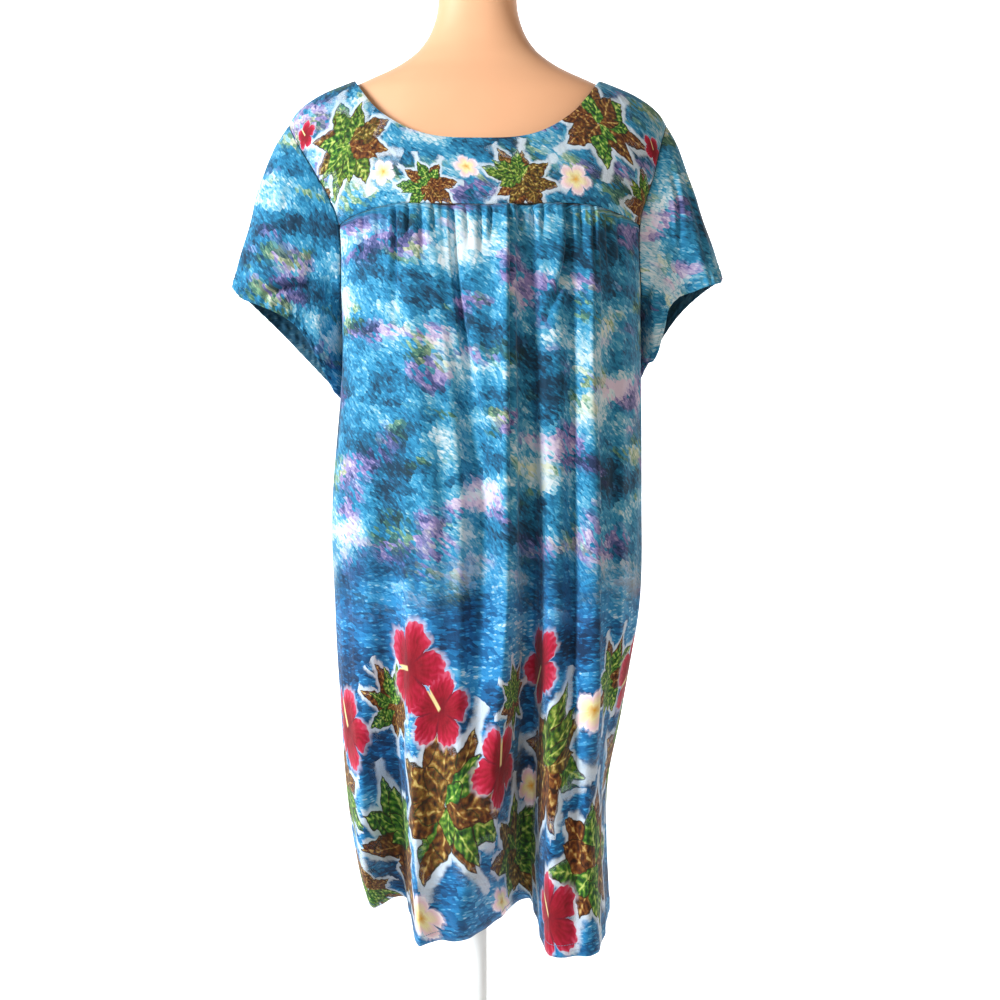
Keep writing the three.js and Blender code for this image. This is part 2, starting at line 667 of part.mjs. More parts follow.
function baseDisc() {
  return turned([[0, 0], [BASE_RADIUS - 1, 0], [BASE_RADIUS, 1], [BASE_RADIUS, BASE_THICKNESS - 2],
    [BASE_RADIUS - 2, BASE_THICKNESS], [0, BASE_THICKNESS]], 64);
}

const COTTON = { color: 0x2f7fae, roughness: 0.85, metalness: 0 };
const SKIN_TONE = { color: 0xf6c79a, roughness: 0.45, metalness: 0 };
const WHITE_STEEL = { color: 0xe9e9e6, roughness: 0.4, metalness: 0.2 };

const group = new THREE.Group();

function addPiece(name, geometry, finish) {
  const mesh = new THREE.Mesh(geometry, new THREE.MeshStandardMaterial(finish));
  mesh.name = name;
  group.add(mesh);
}

addPiece("front_yoke", yoke(true), COTTON);
addPiece("back_yoke", yoke(false), COTTON);
addPiece("front_panel", panel(true), COTTON);
addPiece("back_panel", panel(false), COTTON);
addPiece("left_sleeve", sleeve(-1, LEFT_SLEEVE, LEFT_SLEEVE_FOLDS, LEFT_SLEEVE_LIFTS), COTTON);
addPiece("right_sleeve", sleeve(1, RIGHT_SLEEVE, RIGHT_SLEEVE_FOLDS, RIGHT_SLEEVE_LIFTS), COTTON);
addPiece("form_body", formBody(), SKIN_TONE);
addPiece("neck_cap", neckCap(), SKIN_TONE);
addPiece("pole_socket", poleSocket(), WHITE_STEEL);
addPiece("pole", pole(), WHITE_STEEL);
addPiece("base", baseDisc(), WHITE_STEEL);

export default group;
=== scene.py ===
import math

import bpy
import numpy as np
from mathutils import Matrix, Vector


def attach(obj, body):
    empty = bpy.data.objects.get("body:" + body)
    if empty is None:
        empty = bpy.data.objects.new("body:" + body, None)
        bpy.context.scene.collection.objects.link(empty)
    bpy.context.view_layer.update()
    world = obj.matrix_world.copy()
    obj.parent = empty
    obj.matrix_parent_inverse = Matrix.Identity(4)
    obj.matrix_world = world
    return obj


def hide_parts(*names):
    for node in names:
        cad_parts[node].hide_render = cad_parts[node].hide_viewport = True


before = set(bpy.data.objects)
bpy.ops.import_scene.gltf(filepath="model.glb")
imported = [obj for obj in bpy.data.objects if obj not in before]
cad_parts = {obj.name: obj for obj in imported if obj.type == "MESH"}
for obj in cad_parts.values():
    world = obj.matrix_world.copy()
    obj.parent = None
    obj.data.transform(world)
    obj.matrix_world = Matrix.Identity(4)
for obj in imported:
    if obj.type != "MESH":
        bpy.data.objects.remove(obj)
scene = bpy.context.scene
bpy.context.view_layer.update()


# ------------------------------------------------------------
# The room: a camera at waist height straight in front of the dress, a pale floor that curves up
# into a backdrop, one large cool window light from the left and a weak warm one from the right.

camera = bpy.data.objects.new("camera", bpy.data.cameras.new("camera"))
camera.data.lens = 38.66
camera.data.sensor_width = 36.0
camera.data.shift_y = -0.025
camera.location = (0.03, -1.45, 0.874)
camera.rotation_euler = (math.radians(90), 0, 0)
scene.collection.objects.link(camera)
scene.camera = camera
scene.view_settings.view_transform = "Standard"

FLOOR_FRONT, FLOOR_BACK, FLOOR_SIDE = -7.0, 2.9, 7.0
BACKDROP_BEND, BACKDROP_HEIGHT = 1.2, 6.0
bend = [(FLOOR_BACK + BACKDROP_BEND * math.sin(a), BACKDROP_BEND * (1 - math.cos(a)))
        for a in np.linspace(0, math.pi / 2, 17)]
profile = [(FLOOR_FRONT, 0.0), *bend, (FLOOR_BACK + BACKDROP_BEND, BACKDROP_HEIGHT)]
points = [(x, y, z) for y, z in profile for x in (-FLOOR_SIDE, FLOOR_SIDE)]
faces = [(2 * i, 2 * i + 1, 2 * i + 3, 2 * i + 2) for i in range(len(profile) - 1)]
mesh = bpy.data.meshes.new("floor")
mesh.from_pydata(points, [], faces)
mesh.polygons.foreach_set("use_smooth", [True] * len(faces))
floor = bpy.data.objects.new("floor", mesh)
scene.collection.objects.link(floor)


class Shade:
    """A socket of a material's node tree, which adds, multiplies and compares as a number does."""

    def __init__(self, tree, socket=None):
        self.tree, self.socket = tree, socket

    def node(self, kind, settings=None, values=None, out=0):
        """Adds a node: its settings first, then values or links for its sockets. Gives one output."""
        made = self.tree.nodes.new(kind)
        for name, value in (settings or {}).items():
            setattr(made, name, value)
        for name, value in (values or {}).items():
            socket = made.inputs[name] if isinstance(name, int) else next(
                s for s in made.inputs if name in (s.identifier, s.name))
            if isinstance(value, Shade):
                self.tree.links.new(value.socket, socket)
            else:
                socket.default_value = value
        outputs = made.outputs
        socket = outputs[out] if isinstance(out, int) else next(
            s for s in outputs if out in (s.identifier, s.name))
        return Shade(self.tree, socket)

    def math(self, operation, *others):
        values = {0: self, **{i + 1: other for i, other in enumerate(others)}}
        return self.node("ShaderNodeMath", {"operation": operation}, values)

    def __add__(self, other): return self.math("ADD", other)
    def __radd__(self, other): return self.math("ADD", other)
    def __sub__(self, other): return self.math("SUBTRACT", other)
    def __rsub__(self, other): return (self * -1.0) + other
    def __mul__(self, other): return self.math("MULTIPLY", other)
    def __rmul__(self, other): return self.math("MULTIPLY", other)
    def __truediv__(self, other): return self.math("DIVIDE", other)
    def __pow__(self, other): return self.math("POWER", other)
    def __gt__(self, other): return self.math("GREATER_THAN", other)
    def __lt__(self, other): return self.math("LESS_THAN", other)

    def step(self, low, high):
        """0 under low and 1 over high, with a smooth rise between; low may be the larger one."""
        values = {"Value": self, "From Min": low, "From Max": high}
        return self.node("ShaderNodeMapRange", {"interpolation_type": "SMOOTHSTEP"}, values)

    def blend(self, first, second):
        """Mixes two colours by this number."""
        values = {"Factor_Float": self, "A_Color": first, "B_Color": second}
        return self.node("ShaderNodeMix", {"data_type": "RGBA", "clamp_factor": True}, values, "Result_Color")

    def vector(self, operation, other):
        values = {0: self, 1: other}
        return self.node("ShaderNodeVectorMath", {"operation": operation}, values)

    def turned(self, degrees):
        values = {"Vector": self, "Angle": math.radians(degrees)}
        return self.node("ShaderNodeVectorRotate", {"rotation_type": "Z_AXIS"}, values)

    def place(self):
        return self.node("ShaderNodeTexCoord", out="Object")

    def part(self, axis):
        return self.node("ShaderNodeSeparateXYZ", None, {"Vector": self}, axis)

    def noise(self, scale, detail, stretch=None, out=0, flat=True, **more):
        """Soft noise at this place, which may first be stretched across and down."""
        at = self.vector("MULTIPLY", (*stretch, 1)) if stretch else self
        values = {"Vector": at, "Scale": scale, "Detail": detail, **more}
        return self.node("ShaderNodeTexNoise", {"noise_dimensions": "2D" if flat else "3D"}, values, out)

    def ramp(self, stops):
        """Colours along this number, given as (place, red, green, blue) in rising order."""
        made = self.node("ShaderNodeValToRGB", None, {"Fac": self})
        bar = made.socket.node.color_ramp
        for place, *_ in stops[1:-1]:
            bar.elements.new(place)
        for element, (place, *colour) in zip(bar.elements, stops):
            element.position, element.color = place, (*colour, 1)
        return made


def material(name, **settings):
    """A new material with its main shader's plain sockets set, and a Shade to build on."""
    made = bpy.data.materials.new(name)
    made.use_nodes = True
    shader = made.node_tree.nodes["Principled BSDF"]
    for key, value in settings.items():
        shader.inputs[key.replace("_", " ").title()].default_value = value
    return made, shader, Shade(made.node_tree)


def joined(shade, shader, name):
    shade.tree.links.new(shade.socket, shader.inputs[name])


def bumpy(height, shader, strength, distance):
    values = {"Height": height, "Strength": strength, "Distance": distance}
    joined(height.node("ShaderNodeBump", None, values), shader, "Normal")


GLOW_RISE = (-0.7, 0.8)  # from in front of the dress to behind it, where the floor turns white
floor_paint, shader, shade = material("floor_paint", roughness=0.9)
shader.inputs["Emission Strength"].default_value = 0.62
place = shade.place()
glow = place.part("Y").step(*GLOW_RISE)
joined(glow.blend((0.12, 0.12, 0.12, 1), (1, 1, 1, 1)), shader, "Emission Color")
mottle = place.noise(3.0, 2.0, flat=False)
joined(mottle.blend((0.82, 0.82, 0.82, 1), (0.85, 0.85, 0.85, 1)), shader, "Base Color")
mesh.materials.append(floor_paint)


def window_light(name, place, target, size, watts, colour):
    light = bpy.data.lights.new(name, "AREA")
    light.shape, light.size, light.size_y = "RECTANGLE", *size
    light.energy, light.color = watts, colour
    lamp = bpy.data.objects.new(name, light)
    lamp.location = place
    towards = np.array(target, float) - np.array(place, float)
    lamp.rotation_mode = "QUATERNION"
    lamp.rotation_quaternion = Vector(towards).to_track_quat("-Z", "Y")
    scene.collection.objects.link(lamp)


window_light("key_light", (-2.35, -1.6, 1.8), (0, 0, 0.95), (0.75, 1.4), 124, (0.86, 0.94, 1.0))
window_light("fill_light", (1.2, -2.8, 1.6), (0, 0, 1.0), (1.6, 1.6), 15, (1.0, 0.80, 0.56))
window_light("backdrop_light", (0, 2.3, 3.6), (0, 4.1, 1.4), (4.0, 1.0), 150, (1.0, 1.0, 1.0))
world = bpy.data.worlds.new("room")
world.use_nodes = True
world.node_tree.nodes["Background"].inputs["Color"].default_value = (1.0, 0.96, 0.90, 1)
world.node_tree.nodes["Background"].inputs["Strength"].default_value = 0.17
scene.world = world


# ------------------------------------------------------------
# The stand: a round steel plate, a steel tube and the collar it plugs into, all white powder
# coat. They keep the solids' own shapes; the coat has a fine orange peel and a few dull scuffs.

powder_coat, shader, shade = material("white_powder_coat", metallic=0.0, roughness=0.45)
place = shade.place()
peel = place.noise(850.0, 2.0, flat=False)
scuff = place.noise(26.0, 6.0, flat=False)
worn = scuff.step(0.58, 0.75)
joined(worn.blend((0.93, 0.93, 0.92, 1), (0.84, 0.84, 0.83, 1)), shader, "Base Color")
joined(worn * 0.2 + 0.4, shader, "Roughness")
bumpy(peel, shader, 0.15, 0.0003)
for node in ("base", "pole", "pole_socket"):
    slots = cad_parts[node].data.materials
    slots.clear()
    slots.append(powder_coat)


# ------------------------------------------------------------
# The dress form: a smooth limbless torso shell with a plain lid on its neck, moulded in
# skin-coloured satin plastic. The dress hangs from its shoulders and bust.

def smooth_between(t, span, start, end, start_slope, end_slope):
    near = (1 + 2 * t) * (1 - t) ** 2 * start + t * (1 - t) ** 2 * span * start_slope
    far = t * t * (3 - 2 * t) * end - t * t * (1 - t) * span * end_slope
    return near + far


def along(table, height, column):
    """Value of one column of a table at a height, on a smooth curve through its rows."""
    heights, values = table[:, 0], table[:, column]
    last = len(heights) - 1
    steps = np.arange(last + 1)
    lower, upper = np.maximum(steps - 1, 0), np.minimum(steps + 1, last)
    slopes = (values[upper] - values[lower]) / (heights[upper] - heights[lower])
    height = np.clip(height, heights[0], heights[-1])
    i = np.clip(np.searchsorted(heights, height, side="right") - 1, 0, last - 1)
    span = heights[i + 1] - heights[i]
    t = (height - heights[i]) / span
    return smooth_between(t, span, values[i], values[i + 1], slopes[i], slopes[i + 1])


def soft_step(value, low, high):
    t = np.clip((value - low) / (high - low), 0, 1)
    return t * t * (3 - 2 * t)


def hill(value, middle, width):
    return np.exp(-((value - middle) / width) ** 2)


def added(name, points, faces):
    """A smooth mesh object in metres from points in millimetres."""
    made = bpy.data.meshes.new(name)
    made.from_pydata((np.asarray(points) / 1000).tolist(), [], faces)
    made.polygons.foreach_set("use_smooth", np.ones(len(faces), bool))
    made.update()
    piece = bpy.data.objects.new(name, made)
    scene.collection.objects.link(piece)
    return piece


def ring_faces(first, count, bands):
    """Faces between rings of points, from the index of the first point upwards."""
    starts = [(first + r * count, first + (r + 1) * count) for r in range(bands)]
    return [(low + c, low + (c + 1) % count, high + (c + 1) % count, high + c)
            for low, high in starts for c in range(count)]


FORM = np.array([  # height, half width, reach to the front, reach to the back
    (820, 163, 97, 111), (840, 167, 101, 115), (880, 168, 104, 115), (950, 158, 102, 104),
    (1010, 148, 97, 93), (1080, 158, 104, 97), (1140, 172, 116, 103), (1195, 178, 118, 108),
    (1245, 187, 111, 110), (1290, 200, 98, 109), (1328, 211, 86, 105), (1359, 208, 78, 98),
    (1379, 193, 72, 94), (1396, 159, 65, 88), (1412, 123, 58, 83), (1426, 99, 54, 80), (1442, 80, 50, 75),
    (1466, 64, 47, 67), (1500, 54, 46, 60), (1560, 52, 46, 54)], float)
FORM_POWER = 2.25
FORM_COLUMNS, LID_COLUMNS = 120, 96
FORM_UNDERSIDE = 817.0
UNDER_CLOTH = 1.0  # how far the shell draws in where the dress hides it
heights = np.concatenate([np.arange(820, 1330, 8), np.arange(1330, 1560, 4), [1560]]).astype(float)
turn = np.linspace(0, 2 * np.pi, FORM_COLUMNS, endpoint=False)
covered = UNDER_CLOTH * (1 - soft_step(heights, 1385, 1420))
half = along(FORM, heights, 1) - covered
forward = along(FORM, heights, 2) - covered
backward = along(FORM, heights, 3) - covered
cosine, sine = np.cos(turn), np.sin(turn)
wide = np.sign(cosine) * np.abs(cosine) ** (2 / FORM_POWER)
deep = np.sign(sine) * np.abs(sine) ** (2 / FORM_POWER)
rings = []
for h, a, f, b in zip(heights, half, forward, backward):
    rings.append(np.stack([a * wide, np.where(sine < 0, f, b) * deep, np.full_like(wide, h)], 1))
count = len(turn)
points = np.concatenate([*rings, rings[0] * (0.96, 0.96, 1) - (0, 0, 3), [[0, 0, FORM_UNDERSIDE]]])
faces = ring_faces(0, count, len(rings) - 1)
low = len(rings) * count
faces += [(low + c, low + (c + 1) % count, (c + 1) % count, c) for c in range(count)]
faces += [(low + count, low + (c + 1) % count, low + c) for c in range(count)]
faces.append([(len(rings) - 1) * count + c for c in range(count)])
torso = added("form_torso", points, faces)

skin, shader, shade = material("skin_tone_plastic", roughness=0.45, coat_weight=0.06, coat_roughness=0.35)
place = shade.place()
cloud = place.noise(7.0, 3.0, flat=False)
grain = place.noise(420.0, 2.0, flat=False)
joined(cloud.step(0.35, 0.7).blend((0.95, 0.49, 0.27, 1), (0.97, 0.53, 0.30, 1)), shader, "Base Color")
joined(cloud * 0.12 + grain * 0.08 + 0.36, shader, "Roughness")
bumpy(grain, shader, 0.12, 0.0002)
torso.data.materials.append(skin)
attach(torso, "root")
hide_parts("form_body")

LID = [  # radius, height
    (0, 1560.3), (50.6, 1560.3), (52, 1561.2), (52, 1568.4), (51.3, 1570.2), (49.6, 1571.6), (46.5, 1572.3),
    (0, 1572.3)]
LID_SHIFT, LID_OVAL = 3, 0.96
turn = np.linspace(0, 2 * np.pi, LID_COLUMNS, endpoint=False)
around = [(r * math.cos(a), LID_SHIFT + LID_OVAL * r * math.sin(a), z) for r, z in LID[1:-1] for a in turn]
points = [(0, LID_SHIFT, LID[0][1]), *around, (0, LID_SHIFT, LID[-1][1])]
count, bands = len(turn), len(LID) - 2
faces = [(0, 1 + (c + 1) % count, 1 + c) for c in range(count)]
faces += ring_faces(1, count, bands - 1)
top = 1 + (bands - 1) * count
faces += [(top + c, top + (c + 1) % count, len(points) - 1) for c in range(count)]
lid = added("form_neck_lid", points, faces)
lid.data.materials.append(skin)
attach(lid, "root")
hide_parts("neck_cap")


# ------------------------------------------------------------
# The yokes: one smooth piece of printed cotton over each half of the shoulders, with a wide
# scooped neck whose edge is turned in, and a slightly bowed seam below that carries the panels.

BODY = np.array([  # height, shift of the centre, half width, reach to the front, reach to the back
    (300, 15, 161, 173, 157), (400, 4, 168, 171, 155), (480, 0, 174, 169, 153), (570, 5, 187, 166, 150),
    (705, 13, 203, 162, 148), (840, 13, 207, 158, 144), (1000, 18, 200, 150, 130),
    (1107, 18, 200, 141, 122), (1160, 17, 203, 134, 119), (1207, 16, 212, 128, 118),
    (1240, 14, 228, 121, 118), (1268, 10, 242, 114, 117), (1309, 3, 254, 101, 114), (1347, 0, 250, 89, 109),
    (1374, 0, 220, 80, 101), (1398, 0, 164, 70, 92), (1432, 0, 92, 56, 80)], float)
CENTRE, HALF, FRONT, BACK = 1, 2, 3, 4
SECTION_POWER = 2.4
UNDERARM, SEAM, SHOULDER_TIP, NECK_POINT = 1107.0, 1207.0, 1347.0, 1398.0
NECK_LOW = {FRONT: 1297.0, BACK: 1378.0}
NECK_HALF_WIDTH, NECK_CURVE = 164.0, 3.3
ARMHOLE = {FRONT: 62.0, BACK: 60.0}
SEAM_CURVE = np.array([  # share of the way from the middle to the armhole, rise of the yoke seam there
    (0, 1), (0.3, 3), (0.55, 5), (0.7, 3), (0.84, -2), (1, -9)], float)
SEAM_FADE = 130.0  # how far below the seam the panel's threads still follow that rise
ARMHOLE_GAP, SEAM_GAP, WALL = 1.2, 0.3, 1.6
COTTON = 0.0008  # thickness of the cloth, in metres
# Where each piece is cut from the printed cloth, across and along it in metres
FIRST_FLAT = {"front_yoke": (0.0, 0.0), "back_yoke": (1.3, 0.2), "front_panel": (0.0, 0.0),
              "back_panel": (2.1, 0.0), "left_sleeve": (3.4, 0.3), "right_sleeve": (4.2, 0.3)}


def armhole_depth(height, side):
    middle, reach = (SHOULDER_TIP + UNDERARM) / 2, (SHOULDER_TIP - UNDERARM) / 2
    share = np.clip((height - middle) / reach, -1, 1)
    return ARMHOLE[side] * np.sqrt(1 - share * share)


def aside_at(depth, half, full):
    return half * (1 - np.minimum(depth / full, 1) ** SECTION_POWER) ** (1 / SECTION_POWER)


def armhole_aside(height, side):
    half = along(BODY, np.minimum(height, SHOULDER_TIP), HALF)
    return aside_at(armhole_depth(height, side), half, along(BODY, height, side))


def grid_normals(grid, round_way=False):
    """Unit normals of a grid of points, by rows and columns."""
    if round_way:
        across = np.roll(grid, -1, 1) - np.roll(grid, 1, 1)
    else:
        across = np.gradient(grid, axis=1)
    down = np.gradient(grid, axis=0)
    normals = np.cross(across, down)
    return normals / np.maximum(np.linalg.norm(normals, axis=2, keepdims=True), 1e-9)


def flat_widths(grid):
    """How far each point lies from its row's middle, measured along the cloth, in metres."""
    across = np.cumsum(np.linalg.norm(np.diff(grid, axis=1), axis=2), 1)
    across = np.concatenate([np.zeros((len(grid), 1)), across], 1)
    return (across - across[:, -1:] / 2) / 1000


def shell(name, grid, flat, dabs, motifs):
    """A cloth piece from a grid of points on its outer side, top row first and left column first.
    flat and dabs are each point's place on the cut cloth and on the brushed ground, in metres."""
    rows, columns = grid.shape[:2]
    r, c = np.meshgrid(np.arange(rows - 1), np.arange(columns - 1), indexing="ij")
    r, c = r.ravel(), c.ravel()
    corners = [(r + 1, c), (r + 1, c + 1), (r, c + 1), (r, c)]
    faces = np.stack([a * columns + b for a, b in corners], 1)
    piece = added(name, grid.reshape(-1, 3), faces.tolist())
    made = piece.data
    for layer, places in (("cloth", flat), ("dabs", dabs)):
        corner = np.stack([places[a, b] for a, b in corners], 1)
        made.uv_layers.new(name=layer).data.foreach_set("uv", corner.astype(np.float32).ravel())
        if layer == "cloth":
            cloth = corner
    middle = cloth.mean(1)
    for layer, table in motifs.items():
        table = np.array(table, float)
        away = np.linalg.norm(middle[:, None] - table[None, :, :2], axis=2)
        nearest = table[np.argmin(away / table[None, :, 2], 1)]
        local = (cloth - nearest[:, None, :2]) / nearest[:, None, 2:3]
        turned = nearest[:, None, 3]
        x = local[..., 0] * np.cos(turned) + local[..., 1] * np.sin(turned)
        y = local[..., 1] * np.cos(turned) - local[..., 0] * np.sin(turned)
        data = np.stack([x, y, np.broadcast_to(nearest[:, None, 4], x.shape)], 2)
        made.attributes.new(layer, "FLOAT_VECTOR", "CORNER").data.foreach_set(
            "vector", data.astype(np.float32).ravel())
    made.materials.append(printed_cotton)
    # The second material, used on the inner side, carries painted shade.
    made.materials.append(cotton_wrong_side_painted_shade)
    solid = piece.modifiers.new("thickness", "SOLIDIFY")
    solid.thickness, solid.offset = COTTON, 0.0
    solid.material_offset, solid.material_offset_rim = 1, 0
    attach(piece, "root")
    return piece


# The print, on the right side of the cotton: a brushed ground of short diagonal dabs in patches of
# blue, white, lilac and olive, calmer level dabs near the hem, and leaf sprays and blossoms.
def cloud_at(place, scale, detail, shift=(0, 0, 0)):
    """Soft patches, wider than they are high, at a place in metres."""
    return place.vector("ADD", shift).noise(scale, detail, (1.0, 2.1), Roughness=0.55)


def dabs_of(flat, slant, long, broad, seed):
    """One layer of brush dabs: each dab's random numbers, the distance from its middle, its place."""
    start = (seed, seed, 0)
    sway = flat.vector("ADD", start).noise(11.0, 2.0, out="Color")
    sway = sway.vector("SUBTRACT", (0.5, 0.5, 0.5)).vector("MULTIPLY", (0.022, 0.022, 0))
    scaled = flat.turned(slant).vector("ADD", sway).vector("MULTIPLY", (1 / long, 1 / broad, 1))
    cell = flat.node("ShaderNodeTexVoronoi", {"voronoi_dimensions": "2D"},
                     {"Vector": scaled.vector("ADD", start), "Scale": 1.0})
    outs = {s.name: Shade(flat.tree, s) for s in cell.socket.node.outputs}
    place = outs["Position"].vector("SUBTRACT", start).vector("MULTIPLY", (long, broad, 0))
    return outs["Color"], outs["Distance"], place.turned(-slant)


def random_dabs(flat, layer, share, width):
    """The dabs of a layer whose random number is over a share, fading out from their middles."""
    tint, distance, _ = dabs_of(flat, *layer)
    return (tint.part("X") > share) * distance.step(*width)


# Layers of dabs: slant in degrees, length and breadth in metres, seed
BROAD_DABS, LEVEL_DABS = (38, 0.0092, 0.0038, 0.7), (5, 0.0120, 0.0038, 4.9)
PALE_DABS, DARK_DABS = (29, 0.0080, 0.0028, 2.2), (49, 0.0086, 0.0031, 8.4)
PALE_TIPS = (-3, 0.0110, 0.0030, 11.3)
LEVEL_FROM, LEVEL_BELOW = 0.82, 0.68  # heights between which the slanting dabs turn level


# Colours from dark to light: place on the scale, red, green, blue
BLUES = [(0, 0.005, 0.034, 0.07), (0.18, 0.008, 0.085, 0.17), (0.36, 0.012, 0.165, 0.32),
         (0.52, 0.03, 0.26, 0.46), (0.66, 0.1, 0.37, 0.53), (0.8, 0.3, 0.53, 0.63), (1, 0.68, 0.75, 0.78)]
COBALTS = [(0, 0.004, 0.028, 0.08), (0.18, 0.006, 0.066, 0.18), (0.36, 0.009, 0.135, 0.34),
           (0.52, 0.022, 0.24, 0.52), (0.66, 0.09, 0.37, 0.62), (0.8, 0.31, 0.55, 0.71),
           (1, 0.66, 0.75, 0.81)]
LILACS = [(0.1, 0.018, 0.03, 0.09), (0.35, 0.1, 0.085, 0.25), (0.6, 0.36, 0.22, 0.46),
          (0.9, 0.72, 0.54, 0.68)]
OLIVES = [(0.1, 0.01, 0.035, 0.03), (0.38, 0.045, 0.12, 0.04), (0.62, 0.2, 0.31, 0.06),
          (0.9, 0.68, 0.68, 0.44)]
BROWNS = [(0.18, 0.026, 0.007, 0.002), (0.45, 0.12, 0.03, 0.006), (0.68, 0.25, 0.085, 0.014),
          (0.98, 0.66, 0.44, 0.14)]
GREENS = [(0.18, 0.006, 0.034, 0.008), (0.42, 0.022, 0.11, 0.014), (0.62, 0.1, 0.27, 0.022),
          (0.92, 0.58, 0.66, 0.16)]
CRIMSONS = [(0, 0.09, 0.001, 0.006), (0.25, 0.28, 0.003, 0.014), (0.5, 0.47, 0.008, 0.038),
            (0.7, 0.62, 0.07, 0.14), (0.9, 0.84, 0.44, 0.52)]
CREAMS = [(0, 0.75, 0.35, 0.03), (0.35, 0.93, 0.82, 0.42), (0.7, 0.9, 0.62, 0.66), (0.95, 0.92, 0.86, 0.88)]
# Rings of leaves: count, shortest, longest, breadth, turn, share of brown ones
LEAF_RINGS = [(8, 0.70, 1.0, 0.2, 0, 0.62), (7, 0.55, 0.84, 0.185, 0.7, 0.4), (5, 0.26, 0.5, 0.15, 1.9, 0.4)]


def leaves_of(shade, spot, seed, count, shortest, longest, breadth, turn):
    """A ring of leaves round a middle: how far outside the nearest leaf's edge a place is, the
    distance from its midrib, the distance out along it, and the leaf's random number."""
    x, y = spot.part("X"), spot.part("Y")
    radius = (x * x + y * y).math("SQRT")
    around = (y.math("ARCTAN2", x) + turn + seed) * (count / (2 * math.pi)) + 20.0
    number = around.math("FLOOR")
    off = (around - number - 0.5) * (2 * math.pi / count) * radius
    random = shade.node("ShaderNodeTexWhiteNoise", {"noise_dimensions": "2D"},
                        {"Vector": shade.node("ShaderNodeCombineXYZ", None, {"X": number, "Y": seed})})
    length = random * (longest - shortest) + shortest
    share = (radius / length).math("MINIMUM", 1.0)
    notch = ((radius * 34.0 + random * 9.0).math("SINE") * 0.10 + 1.0) * breadth
    width = ((share ** 0.8) * math.pi).math("SINE") * notch + 0.03 * (1 - share)
    bend = (radius - 0.4) * (random - 0.5) * 0.5
    aside = (off + bend).math("ABSOLUTE")
    return aside - width, aside, radius, random


